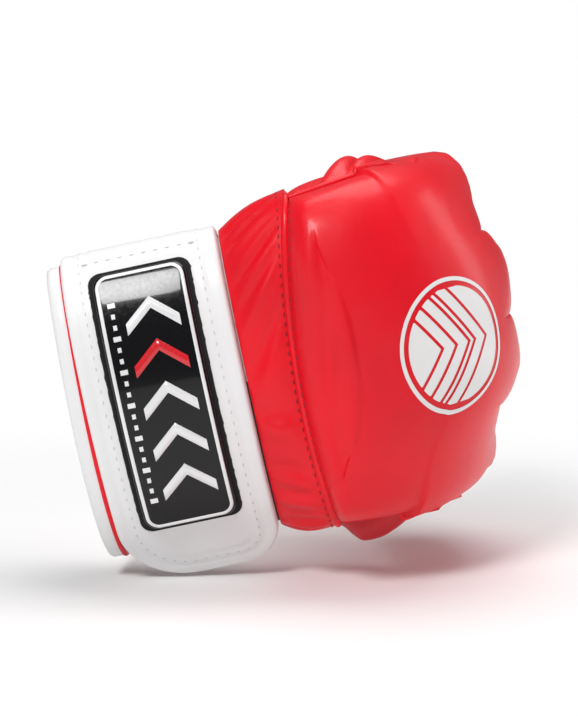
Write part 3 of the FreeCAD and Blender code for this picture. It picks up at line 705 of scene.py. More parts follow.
def build_pad(finger, pad, levels):
    """One finger's crowned pad, its black lining and, at the outer fingers, its skirt."""
    crest = pad[:, len(SPREAD) // 2][:, [0, 2]]
    along = (crest - finger.hinge) @ finger.along
    wrap = wrap_share(along)
    bottom = np.zeros_like(pad)
    for column, place in enumerate(SPREAD):
        flat = pad_floor(finger, crest, cut_floor(levels[column]))
        flat = stack(flat[:, 0], pad[:, column, 1], flat[:, 1])
        wrapped = wrapped_point(finger, along, np.full(PAD_ROWS, place), 0.0)
        bottom[:, column] = (1 - wrap) * flat + wrap * wrapped
    bottom = kept_inside(finger, bottom, pad)
    name, blend = finger.name, finger_blend(finger)
    finish(closed_sheet(f"{name}_pad", pad, bottom), RED, blend,
           f"{name}_cover", f"{name}_foam", f"{name}_knuckle_pad")
    under = bottom[:LINED_ROWS, INNER]
    toward = stack(finger.hinge[0], 0, finger.hinge[1]) - under
    toward[..., 1] = 0
    toward = unit(toward)
    finish(closed_sheet(f"{name}_pad_lining", under + 0.12 * toward, under + 0.7 * toward),
           BLACK, blend)
    if name in SKIRT_SIDES:
        build_skirt(finger, bottom, SKIRT_SIDES[name])


def build_shell():
    """The back pillow, and each finger's crowned pad that carries on from it."""
    backs, cuts, strips = [], [], {}
    for name in reversed(FINGERS):
        levels = cut_level(HAND[name].centre + PAD_HALF * SPREAD)
        strips[name] = strip(HAND[name])
        back, pad = split_at_cut(strips[name], levels)
        shared = 1 if backs else 0      # a strip's first column is the last one's last
        backs.append(back[:, shared:])
        cuts.extend(levels[shared:])
        build_pad(HAND[name], pad, levels)
    top = np.concatenate(backs, 1)
    share = evenly(SHELL_ROWS, column=True)
    start = top[0, :, 0] + 1.5
    bottom = stack(start + (cut_floor(np.array(cuts)) - start) * share, top[..., 1],
                   np.minimum(PAD_BOTTOM, top[..., 2] - 1.2 * (1 - share) - 0.02))
    finish(closed_sheet("back_shell", top, bottom), RED, "hand", "dorsal_cover", "dorsal_foam")
    under = bottom[2:, INNER] - (0, 0, 0.12)
    finish(closed_sheet("shell_lining", under, under - (0, 0, 0.7)), BLACK, "hand",
           "dorsal_lining")
    return top, strips


def build_skirt(finger, bottom, column):
    """Leather closing the hollow between an outer pad's edge and the sleeve beside it."""
    way = 1 if column else -1
    edge = bottom[:, column]
    along = (edge[:, [0, 2]] - finger.hinge) @ finger.along
    near_root = (along > 1.0) & (along < 36.0)
    edge, along = edge[near_root], along[near_root]
    foot = sleeve_point(finger, np.maximum(along + 1.5, 2.2), way * 1.92, SLEEVE_RADIUS + 0.15)
    share = evenly(12, column=True)
    top = edge + (foot - edge) * share[..., None]
    hollow = 1.2 * np.sin(math.pi * share)
    top[..., 1] -= way * (0.15 + hollow * smoothstep(np.abs(edge[:, 1] - foot[:, 1]) / 3))
    finish(closed_sheet(f"{finger.name}_pad_skirt", top, top - (0, way * 0.8, 0)), RED,
           finger_blend(finger))


# ---- finger sleeves -------------------------------------------------------------------

def ragged(angle, seed):
    """Uneven cut of the sleeve's raw end, in millimetres."""
    return (0.55 * np.sin(3 * angle + seed) + 0.45 * np.sin(7 * angle + 2.1 * seed)
            + 0.3 * np.sin(13 * angle + 0.7 * seed))


def build_sleeve(finger):
    """A soft leather tube with a raw, slightly squashed mouth, and the fleece inside it."""
    name, seed, blend, end = finger.name, finger.seed, finger_blend(finger), finger.length
    angles = full_turn(72)
    cut_end = ragged(angles, seed) * 0.9
    share = evenly(40, column=True)
    along = 2.0 + (end - 2.0) * share
    root = 1.3 * (1 - smoothstep(share / 0.35)) * (0.5 - 0.5 * np.cos(angles))
    radius = (SLEEVE_RADIUS + root) * sleeve_squash(finger, angles, along) + 0.18 * soft_noise(
        angles * 3 + seed, along * 0.35)
    near_mouth = smoothstep((share - 0.55) / 0.45)
    outside = sleeve_point(finger, along + near_mouth * share * cut_end, angles, radius)
    mouth = SLEEVE_RADIUS * sleeve_squash(finger, angles, end)
    lip = np.array([sleeve_point(finger, end + cut_end + ahead, angles, mouth - inward)
                    for inward, ahead in ((0.35, 0.28), (0.8, 0.25), (1.15, -0.1), (1.3, -1.0),
                                          (1.35, -4.0))])
    finish(grid(f"{name}_sleeve_leather", np.concatenate([outside, lip[:1]])), RED, blend,
           f"{name}_sleeve")
    finish(grid(f"{name}_sleeve_raw_edge", lip), RAW_RED, blend)
    share = evenly(26, column=True)[::-1]
    along = 4 + (end - 5.2) * share
    radius = (finger.bore + 0.15 + 0.5 * share ** 6) * (
        1 + 0.05 * share * np.cos(2 * angles + 0.6)) + 0.25 * soft_noise(
            angles * 5 + seed, along * 0.9)
    along = along + 0.6 * share * ragged(angles, seed + 2)
    finish(grid(f"{name}_fleece", sleeve_point(finger, along, angles, radius)), FLEECE, blend,
           f"{name}_lining")


# ---- wrist ----------------------------------------------------------------------------

def ellipse(angle, inset):
    """A point round the wrist; 0 degrees is the thumb side and 90 the back of the hand."""
    return (WRIST_V + (STRAP_HALF_V - inset) * np.cos(angle),
            WRIST_W + (STRAP_HALF_W - inset) * np.sin(angle))


def hand_section(angle):
    """The hand's rounded section where the gauntlet meets shell, gussets and palm."""
    cosine, sine = np.cos(angle), np.sin(angle)
    depth = np.where(sine > 0, SECTION_TOP, SECTION_PALM)
    return SECTION_HALF * signed_power(cosine, 0.5), WRIST_W + depth * signed_power(sine, 0.5)


def section_seam(v):
    """The wrist seam's place along the hand, held level past the seam's two ends."""
    return seam_along(np.clip(v, -54, 52))


def wrist_sleeve(name, start, stop, inset, puff, material, *nodes, folds=0.0):
    """A soft band from the strap to the hand's section, over a range of angles in degrees."""
    angles = arc_degrees(start, stop, 150)
    rear, thickness = 0.6, 1.6
    share = evenly(26, column=True)
    swell = np.clip(np.sin(math.pi * share), 0, None)
    ve, we = ellipse(angles, inset)
    vh, wh = hand_section(angles)
    turn = share ** 1.15
    u = rear + (section_seam(vh) - rear) * share
    crease = folds * np.sin(math.pi * np.minimum(1, share * 1.15)) * (
        np.sin(angles * 16 + 2.2 * share) * np.sin(angles * 5 + 1.1)
        + 0.6 * np.sin(angles * 31 + 5 * share + 1))
    sheets = [stack(u, ve + (vh - ve) * turn + offset * np.cos(angles),
                    we + (wh - we) * turn + offset * np.sin(angles))
              for offset in (puff * swell ** 0.8 + crease,
                             puff * swell ** 0.8 + crease - thickness)]
    finish(closed_sheet(name, *sheets), material, "hand", *nodes)
    return sheets[0]


# ---- strap ----------------------------------------------------------------------------

STRAP_MIDDLE = 0.95          # depth of the strap's middle line under its outer face
STRAP_THICKNESS = 2.6
STRAP_EDGE = 6.3             # the outer row of stitches, from the strap's edge
STRAP_UNDERSIDE = -0.9
STRAP_GROOVES = (4.6, 8.2)   # sewn grooves, from the strap's edge
STRAP_CORNERS = (23, 14)     # at its rounded end
TAPE_REAR, TAPE_FRONT = STRAP_REAR + 5, -4.0
TAPE_FACE, TAPE_BACK = -1.28, -0.85
FOLD_BLEND = ("hand", "strap", FOLD - (0, 0, 4.5), FOLD + (0, 0, 4.5))
PEEL_BLEND = ("strap", "strap_end", PEEL + (0, 2.5, 0), PEEL - (0, 3.5, 0))


class StrapPath:
    """The strap's middle line across the wrist, with its outward direction."""

    def __init__(self):
        peel_angle = math.atan2((PEEL[2] - WRIST_W) / (STRAP_HALF_W - STRAP_MIDDLE),
                                (PEEL[1] - WRIST_V) / (STRAP_HALF_V - STRAP_MIDDLE))
        angles = np.linspace(math.radians(-145), peel_angle, 500)
        curved = np.stack(ellipse(angles, STRAP_MIDDLE), 1)
        slope = unit(curved[-1] - curved[-2])
        tail = evenly(60, column=True)[1:] * slope * (PEEL[1] - STRAP_END_V) / abs(slope[0])
        self.line = np.concatenate([curved, curved[-1] + tail])
        self.travel = travelled(self.line)
        tangent = np.gradient(self.line, self.travel, axis=0)
        self.normal = unit(tangent[:, ::-1] * (1, -1))
        self.peel = self.travel[len(angles) - 1]
        self.total = self.travel[-1]

    def at(self, travel, u, height):
        """Points at a distance along the strap, a place across it and a height over it."""
        place = interpolated(self.line, self.travel, travel)
        way = interpolated(self.normal, self.travel, travel)
        return stack(u, place[..., 0] + height * way[..., 0], place[..., 1] + height * way[..., 1])

    def travel_at_v(self, v):
        """Distance along the strap of a place v on the back of the hand."""
        back = self.line[:, 1] > WRIST_W + 4
        order = np.argsort(self.line[back, 0])
        return float(np.interp(v, self.line[back, 0][order], self.travel[back][order]))


STRAP = StrapPath()
STRAP_CENTRE = STRAP.travel_at_v(0.0)
BADGE_START, BADGE_STOP = (STRAP.travel_at_v(v) for v in (BADGE_HIGH[1], BADGE_LOW[1]))


def edge_distance(points, border):
    """Distance of flat points from a border line."""
    flat = points.reshape(-1, 2)
    best = np.full(len(flat), 1e9)
    for a, b in zip(border[:-1], border[1:]):
        run = b - a
        share = np.clip(((flat - a) @ run) / (run @ run + 1e-12), 0, 1)
        best = np.minimum(best, np.linalg.norm(flat - a - share[:, None] * run, axis=1))
    return best.reshape(points.shape[:-1])


def rounded_area(low, high, corners, rows, columns):
    """A grid over a rectangle with rounded corners, and its border.

    low and high are (across, along) pairs; corners are the radii at the start-low,
    start-high, end-low and end-high corners.
    """
    along = evenly(rows)
    if max(corners) > 0:
        along = 0.5 - 0.5 * np.cos(math.pi * along)
    along = low[1] + (high[1] - low[1]) * along
    sides = np.repeat([[low[0]], [high[0]]], rows, 1).astype(float)
    for number, radius in enumerate(corners):
        gap = high[1] - along if number > 1 else along - low[1]
        inside = np.clip(radius - gap, 0, radius)
        bite = radius - np.sqrt(np.maximum(radius ** 2 - inside ** 2, 0))
        sides[number % 2] += -bite if number % 2 else bite
    spread = 0.5 - 0.5 * np.cos(math.pi * evenly(columns))
    across = sides[0][:, None] + (sides[1] - sides[0])[:, None] * spread
    points = np.stack([across, np.repeat(along[:, None], columns, 1)], -1)
    border = np.concatenate([points[0], points[:, -1], points[-1, ::-1], points[::-1, 0]])
    return points, border


def edge_rounding(distance, thickness, rim):
    """Height over the middle plane by distance from a rounded edge."""
    lift = np.sqrt(np.clip(1 - (1 - np.clip(distance / rim, 0, 1)) ** 2, 0, 1))
    return thickness * (lift - 0.5)


def strap_sheet(name, points, top, bottom):
    """A closed sheet on the strap between two heights."""
    return closed_sheet(name, *[STRAP.at(points[..., 1], points[..., 0], height)
                                for height in (top, bottom)])


def strap_piece(name, start, stop, corners, rows, open_end, blend, *nodes):
    """A length of strap with sewn grooves, which carries on past one of its ends."""
    points, _ = rounded_area((STRAP_REAR, start), (0.0, stop), corners, rows, 46)
    cut, way = (-1, 40.0) if open_end else (0, -40.0)
    gap = edge_distance(points, points[0 if open_end else -1])
    for side in (points[:, 0], points[:, -1]):
        beyond = [side[cut] + (0, way)]
        line = (side, beyond) if open_end else (beyond, side)
        gap = np.minimum(gap, edge_distance(points, np.concatenate(line)))
    height = edge_rounding(gap, STRAP_THICKNESS, 1.3) + 0.25 * smoothstep((gap - 3) / 8)
    for groove in STRAP_GROOVES:
        height = height - 0.28 * np.exp(-((gap - groove) / 0.8) ** 2)
    finish(strap_sheet(name, points, height, STRAP_UNDERSIDE), WHITE, blend, *nodes)


def hook_tape(name, start, stop, body, node, corners=(1, 1, 1, 1)):
    """Hook tape sewn under the strap."""
    points, border = rounded_area((TAPE_REAR, start), (TAPE_FRONT, stop), corners, 60, 36)
    gap = edge_distance(points, border)
    pile = 0.10 * soft_noise(points[..., 0] * 4.3, points[..., 1] * 4.1)
    low = TAPE_FACE - pile + 0.25 * (1 - smoothstep(gap / 0.8))
    finish(strap_sheet(name, points, low, TAPE_BACK), PILE, body, node)


def build_strap():
    strap_piece("strap_base", 0.0, STRAP_CENTRE, (0, 0, 0, 0), 150, True, FOLD_BLEND,
                "strap_anchor", "strap_flap")
    strap_piece("strap_end", STRAP_CENTRE, STRAP.total, (0, 0, *STRAP_CORNERS), 110, False,
                PEEL_BLEND, "strap_tip")
    hook_tape("flap_hook_tape", STRAP.travel_at_v(-6), STRAP.travel_at_v(-37), "strap",
              "flap_hook_patch")
    hook_tape("end_hook_tape", STRAP.peel + 4, STRAP.total - 5, "strap_end", "tip_hook_patch",
              corners=(1, 1, 16, 10))


def on_strap(u, travel, raised=0.0):
    """A line on the strap's face, and its way out."""
    level = STRAP_THICKNESS / 2 - 0.05 + raised
    line = STRAP.at(travel, u, level)
    return line, STRAP.at(travel, u, level + 1) - line


def build_strap_stitches():
    """Thread along both edges of the strap, across it above the badge and round its end."""
    run = np.linspace(6.0, STRAP_CENTRE, 300)
    sides = (STRAP_REAR + STRAP_EDGE, -STRAP_EDGE)
    rows = [on_strap(u, run) for u in sides]
    rows.append(on_strap(np.linspace(*sides, 80), np.full(80, BADGE_START - 4.5), raised=0.27))
    finish(stitches("strap_stitches", rows, pitch=3.5, radius=0.27), WHITE_THREAD, FOLD_BLEND)
    corners = [0, 0] + [radius - STRAP_EDGE for radius in STRAP_CORNERS]
    _, border = rounded_area((sides[0], STRAP_CENTRE - 30), (sides[1], STRAP.total - STRAP_EDGE),
                             corners, 200, 60)
    border = border[border[:, 1] > STRAP_CENTRE + 0.5]
    turn = np.arctan2(border[:, 1] - STRAP_CENTRE, border[:, 0] - STRAP_REAR / 2)
    border = border[np.argsort(turn)]
    finish(stitches("strap_end_stitches", [on_strap(*border.T)], pitch=3.5, radius=0.27),
           WHITE_THREAD, PEEL_BLEND)


# ---- badge ----------------------------------------------------------------------------

BADGE_REST = STRAP_THICKNESS / 2 + 0.15
DOME_RISE, DOME_THICKNESS = 0.5, 1.9
BADGE_FACE = BADGE_REST + DOME_RISE + DOME_THICKNESS + 0.02
BADGE_MIDDLE = (BADGE_START + BADGE_STOP) / 2


def badge_layer(name, margin, corner, base, thickness, rim, material, node, fringe=0.0):
    """One rounded layer of the badge, inside a margin, optionally frayed at its edge."""
    points, border = rounded_area(
        (BADGE_LOW[0] + margin, BADGE_START + margin),
        (BADGE_HIGH[0] - margin, BADGE_STOP - margin), (corner,) * 4, 90, 50)
    gap = edge_distance(points, border)
    fray = fringe * soft_noise(points[..., 0] * 3.1, points[..., 1] * 2.7) * (gap < 0.01)
    height = base + edge_rounding(gap, thickness, rim) + thickness / 2
    finish(strap_sheet(name, points + fray[..., None], height, base), material, "strap", node)


def rounded_loop(corners, radius, steps=10):
    """A closed path through corners, each rounded by an arc."""
    path = []
    for number, corner in enumerate(corners):
        before = unit(corners[number - 1] - corner)
        after = unit(corners[(number + 1) % len(corners)] - corner)
        turn = np.linspace(0, math.pi / 2, steps)[:, None]
        path.append(corner + (before + after) * radius
                    - after * radius * np.cos(turn) - before * radius * np.sin(turn))
    path = np.concatenate(path)
    dense = []
    for a, b in zip(path, np.roll(path, -1, 0)):
        count = max(1, int(np.linalg.norm(b - a) / 1.5))
        dense.extend(a + (b - a) * np.linspace(0, 1, count, endpoint=False)[:, None])
    return np.array(dense)


def badge_outline(inset=3.0, corner=3.6):
    """The printed line round the badge."""
    low, high = BADGE_LOW[0] + inset, BADGE_HIGH[0] - inset
    start, stop = BADGE_START + inset, BADGE_STOP - inset
    path = rounded_loop(np.array([(low, start), (high, start), (high, stop), (low, stop)]), corner)
    line = STRAP.at(path[:, 1], path[:, 0], BADGE_FACE - 0.12)
    up = STRAP.at(path[:, 1], path[:, 0], BADGE_FACE + 1) - line
    finish(tube("badge_frame_line", line, 0.62, 8, up, flatten=0.35, closed=True), PRINT,
           "strap", "badge_outline")


def raised_marks(name, material, marks, width, shoulder, rise, *nodes, floored=False):
    """Raised printed marks, each a band along its own (travel, across) line."""
    points, faces = [], []
    for travel, across in marks:
        count, start = len(across), sum(len(part) for part in points)
        points.append(np.concatenate([
            STRAP.at(travel + width * edge, across, BADGE_FACE + height)
            for edge, height in ((-0.5, -0.4), (-shoulder, rise), (shoulder, rise), (0.5, -0.4))]))
        faces += quads(4, count, start=start)
        if floored:
            faces.append(cap(start, count) + cap(start + 3 * count, count)[::-1])
    piece = outward(new_object(name, np.concatenate(points), faces))
    finish(piece, material, "strap", *nodes)


def badge_marks():
    """Plain chevrons along the badge, one of them red, and a scale of ticks beside them."""
    low, high = (corner[0] for corner in node_box("badge_bars"))
    across = np.linspace(-1, 1, 31)
    arm, pitch, width = 7.0, 13.0, 2.7 * 1.6

    def chevrons(steps):
        return [(BADGE_MIDDLE + step * pitch + arm * (np.abs(across) - 0.5),
                 (low + high) / 2 + (high - low) / 2 * across) for step in steps]

    raised_marks("badge_chevrons", PRINT, chevrons((-2, 0, 1, 2)), width, 0.38, 0.2,
                 "badge_bars", floored=True)
    raised_marks("badge_red_chevron", RED_PRINT, chevrons((-1,)), width, 0.38, 0.2, floored=True)
    scale, tick_pitch = (BADGE_LOW[0] + BADGE_HIGH[0]) / 2 - 10.0, 3.4
    ticks = [(np.full(9, BADGE_MIDDLE + step * tick_pitch),
              scale + (1.2 if step % 3 else 2.4) * np.linspace(-0.5, 0.5, 9))
             for step in range(-9, 10)]
    raised_marks("badge_ticks", PRINT, ticks, 1.9, 0.36, 0.16)


def build_badge():
    badge_layer("badge_backing_cloth", 0.0, 4.0, BADGE_REST, 0.7, 0.6, BACKING, "badge_backing",
                fringe=0.35)
    badge_layer("badge_dome", 1.3, 4.4, BADGE_REST + DOME_RISE, DOME_THICKNESS, 2.4, GLOSS,
                "badge_face")
    badge_outline()
    badge_marks()


# ---- cuff -----------------------------------------------------------------------------

def build_cuff():
    """White cuff under the strap with a bound rear edge, its red piping and black lining."""
    angles = full_turn(220)
    sway = 0.5 * np.sin(2 * angles + 0.4)
    rear = REAR_RIM
    # The cuff's profile: place along the wrist and depth under the strap's outer face.
    profile = [(rear + 6.6, 5.6), (rear + 1.6, 5.8), (rear + 0.5, 5.2), (rear, 4.1),
               (rear + 0.4, 3.0), (rear + 1.4, 2.3), (rear + 4.6, 2.3), (rear + 5.4, 2.7),
               (rear + 6.2, 3.4), (rear + 8, 3.3), (-40, 3.4), (-20, 3.4), (0.6, 3.4),
               (1.2, 4.0), (0.8, 5.4)]
    band = np.array([stack(u + sway * smoothstep((rear + 14 - u) / 14), *ellipse(angles, inset))
                     for u, inset in profile])
    finish(grid("cuff_cloth", band), WHITE, "hand", "cuff_band", "cuff_binding")
    out = stack(0, np.cos(angles) / STRAP_HALF_V, np.sin(angles) / STRAP_HALF_W)
    seat = stack(rear + 6.0 + sway, *ellipse(angles, 3.35))
    finish(stitches("cuff_stitching", [(seat, out)], pitch=3.4), WHITE_THREAD, "hand")
    seat = stack(rear + 5.2 + sway, *ellipse(angles, 2.7))
    finish(tube("cuff_red_piping", seat, 0.9, 8, out, closed=True), RED, "hand")
    u = np.linspace(rear + 1.0, 20, 30)[:, None]
    (ve, we), (vh, wh), turn = ellipse(angles, 5.9), hand_section(angles), smoothstep(u / 20)
    lining = stack(u, ve + (vh * 0.93 - ve) * turn,
                   we + (WRIST_W + (wh - WRIST_W) * 0.72 - we) * turn)
    finish(grid("wrist_lining", lining), BLACK, "hand", "cuff_lining", "cuff_padding",
           "gauntlet_padding")


def build_loop_patch():
    """Loop pile on the cuff, under the strap's flap and rounded end."""
    start, stop = STRAP.travel_at_v(2.0), STRAP.travel_at_v(-40.0) + 14
    points, _ = rounded_area((TAPE_REAR, start), (1.8, stop), (1, 1, 1, 1), 50, 30)
    peel = math.atan2((PEEL[2] - WRIST_W) / STRAP_HALF_W, (PEEL[1] - WRIST_V) / STRAP_HALF_V)
    angles = np.interp(points[..., 1], [start, stop], [math.radians(88), peel + 0.32])
    sheets = [stack(points[..., 0], *ellipse(angles, inset)) for inset in (2.3, 3.3)]
    finish(closed_sheet("loop_pile", *sheets), PILE, "hand", "loop_patch")


# ---- seams over the back of the hand --------------------------------------------------

def tapered(count, run, least, power):
    """A girth's share along a seam, which runs out at both ends."""
    share = evenly(count)
    return np.clip(np.minimum(share, 1 - share) / run, least, 1) ** power


def build_seam(shell_top, gauntlet_top):
    """Rolled seam between gauntlet and shell, with a row of stitches on each side."""
    angles = arc_degrees(3, 180, 240)
    ends = smoothstep(np.minimum(angles - angles[0], angles[-1] - angles) / 0.5)
    lift = -0.6 + 1.1 * ends
    v, w = hand_section(angles)
    path = resample(stack(section_seam(v), v + lift * np.cos(angles), w + lift * np.sin(angles)),
                    1.4)
    out = path - (0, WRIST_V, WRIST_W)
    out[:, 0] = 0
    girth = 1.4 * tapered(len(path), 0.14, 0.02, 0.6)
    finish(tube("wrist_seam_roll", path, girth, 12, out, flatten=0.9), RED, "hand",
           "wrist_seam_piping")
    front = np.array([along_line(shell_top[:, column], 3.3)
                      for column in range(2, shell_top.shape[1] - 2)])
    rear = gauntlet_top[-4, 6:-6]
    inside_shell, inside_wrist = (34, 0, -6), (14, 0, -8)
    rows = [(front, (front - inside_shell) * (0.3, 1, 1)), (rear, rear - inside_wrist)]
    finish(stitches("wrist_seam_stitches", rows, pitch=3.0, radius=0.34), RED_THREAD, "hand")


def build_side_seams(strips):
    """Rolled seams along both long edges of the padded shell."""
    for name, column, way in (("index", -1, 1.0), ("little", 0, -1.0)):
        edge = resample(strips[name][2:118, column] + (0, 0.25 * way, -0.3), 1.2)
        girth = 1.05 * tapered(len(edge), 0.06, 0.1, 0.5)
        wobble = 1 + 0.10 * soft_noise(edge[:, 0] * 0.6, edge[:, 2] * 0.6)
        finish(tube(f"{name}_side_seam", edge, girth * wobble, 10, (0.0, way, 0.2)), RED,
               finger_blend(HAND[name]))


# ---- sides and palm -------------------------------------------------------------------

def under_face(top, centre, depth):
    """A bulging sheet's inner face, moved towards a line along the hand."""
    inward = top - centre
    inward[..., 0] = 0
    return top - depth * unit(inward)


def ridges(u, creases, heights):
    """Height of rounded folds standing side by side between creases."""
    total = np.zeros_like(u)
    for first, last, height in zip(creases[:-1], creases[1:], heights):
        place = np.clip((u - first) / (last - first), 0, 1)
        total += height * np.sqrt(np.clip(1 - (2 * place - 1) ** 2, 0, 1))
    return total


def build_thumb_gusset():
    """Pleated leather between the shell's thumb edge and the thumb opening."""
    index = HAND["index"]
    start, length, shell_radius = 20.6, 41.0, 33.0
    creases, heights = (24.0, 38.5, 48.5, 55.5), (0.5, 1.0, 0.62)
    s, t = evenly(150), evenly(44, column=True)
    u = start + length * s
    over = np.arcsin(np.clip((u - index.crown) / shell_radius, -0.2, 1.0))
    back_w = np.where(u < index.crown, 16.0, -ARC_BELOW + shell_radius * np.cos(over)) + 0.2
    back_v = 56 * widening(u) - 0.2
    front_w = -9.0 + 2.0 * smoothstep((u - 40) / 20)
    front_v = 48.5 + 6.8 * smoothstep((u - 30) / 18)
    w = back_w + (front_w - back_w) * t
    swell = np.sin(math.pi * np.minimum(1, t * 0.92 + 0.04)) ** 0.7
    fan = (0.5 - t) * 8.5
    fold = ridges(u + fan, creases, heights) * (0.5 + 0.5 * np.sin(math.pi * t ** 0.8))
    body = 3.0 * np.clip(np.sin(math.pi * np.clip(s * 1.02, 0, 1)), 0, 1) ** 0.5
    wobble = 0.3 * soft_noise(u * 0.25, w * 0.2)
    top = stack(u, back_v + (front_v - back_v) * t + swell * (body + 3.6 * fold) + wobble, w)
    way = np.array([0.9, -0.436])
    levels = index.hinge @ way + (-20.0, 14.0)
    ends = [(level * way[0], index.centre, level * way[1]) for level in levels]
    finish(closed_sheet("thumb_side_pleats", top, top - (0, 1.5, 0)), RED,
           ("hand", index.body, *ends), "thumb_gusset")


def build_little_side():
    """Rounded leather side wall under the little finger, coloured a darker red that is painted shade."""
    centre_v, centre_w = node_box("little_side_gusset")[1][1] + 3.0, -1.5
    angles, t = arc_degrees(80, 292, 90), evenly(46, column=True)
    shrink = (1 - np.maximum(0, (t - 0.45) / 0.55) ** 2.2) ** 0.5
    shrink[-1] = 0.02
    bulge = 14.5 + 3.0 * np.sin(math.pi * np.minimum(1, t * 1.15)) * shrink
    wide = 7 + (bulge - 7) * (0.35 + 0.65 * shrink) * (0.3 + 0.7 * smoothstep(t / 0.3))
    height = 15.2 * (0.45 + 0.55 * shrink)
    folds = 0.7 * np.sin(math.pi * t) * np.sin(angles * 7 + 5 * t) * np.sin(angles * 2 + 1)
    top = stack(17.6 + 27.6 * t, centre_v + (wide + folds) * np.cos(angles),
                centre_w + (height + folds) * np.sin(angles))
    bottom = under_face(top, (0, centre_v, centre_w), 1.5)
    finish(closed_sheet("little_side_leather", top, bottom), SHADED_RED, "hand",
           "little_side_gusset")


def palm_front(v):
    """Front edge of the palm leather, stepped back under the little finger."""
    step_back, step_width, notch = 15, 26, 9
    slope = step_back * np.clip((PALM_LOW[1] + step_width - v) / step_width, 0, 1.15)
    share = np.clip((v - PALM_HIGH[1] + notch) / notch, 0, 1)
    return PALM_HIGH[0] - slope - notch * (1 - np.sqrt(1 - share ** 2)) - 0.4


def build_palm():
    """The palm's leather with its cross stitches and its vent."""
    skin = PALM_LOW[2] - 0.5
    v, t = np.linspace(PALM_LOW[1] - 4.5, PALM_HIGH[1] + 0.8, 120), evenly(46, column=True)
    rear = seam_along(v) - 0.6
    u = rear + (palm_front(v) - rear) * t
    curl = 7.5 * smoothstep((t - 0.80) / 0.20) ** 1.3
    dome = np.clip(np.sin(math.pi * evenly(len(v))), 0, 1) ** 0.5
    swell = 1.5 * np.sin(math.pi * np.minimum(1, t * 1.1)) * dome
    crease = 0.45 * np.exp(-((t - 0.45 - 0.006 * v) / 0.05) ** 2)
    side = 5.0 * np.clip((PALM_LOW[1] + 4 - v) / 9, 0, 1) ** 2
    top = stack(u, v, skin - swell + crease + curl + side + 0.25 * soft_noise(u * 0.3, v * 0.2))
    bottom = top + (0, 0, 1.6)
    bottom[..., 0] -= 1.2 * t ** 4
    finish(closed_sheet("palm_leather", top, bottom), RED, "hand", "palm_panel", "palm_lining")
    rows = [(resample(row, 1.0), (0, 0, -1)) for row in (top[3, 4:-8], top[31, 6:-14])]
    finish(stitches("palm_stitches", rows, radius=0.3), RED_THREAD, "hand")
    build_vent(skin - 1.4)


def build_thumb_trim():
    """Broad white binding round the thumb opening."""
    low, high = node_box("thumb_opening_binding")
    middle = (low + high) / 2
    turn = full_turn(220)
    half_u, half_v = (high[0] - low[0]) / 2 - 1.0, (high[1] - low[1]) / 2 - 2.2
    u = middle[0] + half_u * signed_power(np.cos(turn), 0.8)
    v = middle[1] + half_v * np.sin(turn) - 1.0
    u = u - 2.5 * smoothstep((v - middle[1]) / half_v) * np.clip(np.cos(turn), 0, None)
    lift = smoothstep((v - (high[1] - 24)) / 24)
    lean = math.radians(62) * lift
    normals = stack(0.12 * np.cos(turn), np.sin(lean), -np.cos(lean))
    path = stack(u, v, low[2] + 1.2 + 7.0 * lift)
    finish(ribbon("thumb_trim", path, normals, 6.4, 2.3), WHITE, "hand", "thumb_opening_binding")
    side = unit(np.cross(tangents(path, True), normals))
    seat = path - side * 1.45 + normals * 0.92
    closed = [np.concatenate([line, line[:1]]) for line in (seat, normals)]
    finish(stitches("thumb_trim_stitches", [closed], pitch=3.3, radius=0.27), WHITE_THREAD,
           "hand")


def build_vent(level):
    """A small half-moon vent in the palm with a white binding."""
    low, high = node_box("palm_vent_binding")
    radius = (high[1] - low[1]) / 2 - 1.2
    turn = full_turn(96)
    middle_u = low[0] + 3.0
    sine = np.sin(turn)
    v = (low[1] + high[1]) / 2 + radius * np.cos(turn)
    path = stack(middle_u + 0.85 * radius * np.where(sine > 0, sine, 0.16 * sine), v, level)
    normal = np.broadcast_to([0.0, 0.0, -1.0], path.shape)
    finish(ribbon("vent_trim", path, normal, 2.6, 1.9), WHITE, "hand", "palm_vent_binding")
    chord = stack(middle_u - 0.5, v, level)
    top = chord + (path - chord) * evenly(12)[:, None, None]
    top[..., 2] += 0.5 + 0.12 * soft_noise(top[..., 0] * 2.0, top[..., 1] * 2.0)
    finish(closed_sheet("vent_knit", top, top + (0, 0, 0.8)), BLACK, "hand")


def build_hand_lining():
    """Black lining inside the hand, open at the thumb and towards the fingers."""
    angles, u = arc_degrees(-14, 284, 150), np.linspace(17.0, 43.0, 24)[:, None]
    v = -0.5 + 47.5 * signed_power(np.cos(angles), 0.45)
    up = signed_power(np.sin(angles), 0.45)
    reach = np.where(up < -0.5, np.minimum(u, palm_front(v) - 1.6), u)
    w = 1.0 + np.where(up > 0, 11.0, 14.0) * up + 0.35 * soft_noise(u * 0.4, angles * 6)
    top = stack(reach, v, w)
    finish(closed_sheet("hand_lining", top, under_face(top, (0, 0, 0.5), 1.2)), BLACK, "hand")


# ---- finger details -------------------------------------------------------------------

def build_finger_details(finger):
    """Dark stitches near the open end, and a seam allowance along the palm side."""
    name, end, blend = finger.name, finger.length, finger_blend(finger)
    angles = np.linspace(0, 2 * math.pi, 100)
    along = end - 4.2 + ragged(angles, finger.seed) * 0.7
    path = sleeve_point(finger, along, angles, 12.08 * sleeve_squash(finger, angles, end))
    way = path - sleeve_point(finger, along, angles, 0.01)
    finish(stitches(f"{name}_mouth_stitches", [(path, way)], pitch=4.6, share=0.5, radius=0.36),
           BLACK, blend, slot="finger_lining")
    share = evenly(60)
    seat = sleeve_point(finger, 14.0 + (end - 18.0) * share, math.pi * 0.86,
                        12.15 + 0.25 * np.sin(share * 23 + finger.seed))
    finish(tube(f"{name}_sleeve_seam", seat, 0.75, 8, (-1.0, 0.3, 0.0)), RED, blend)


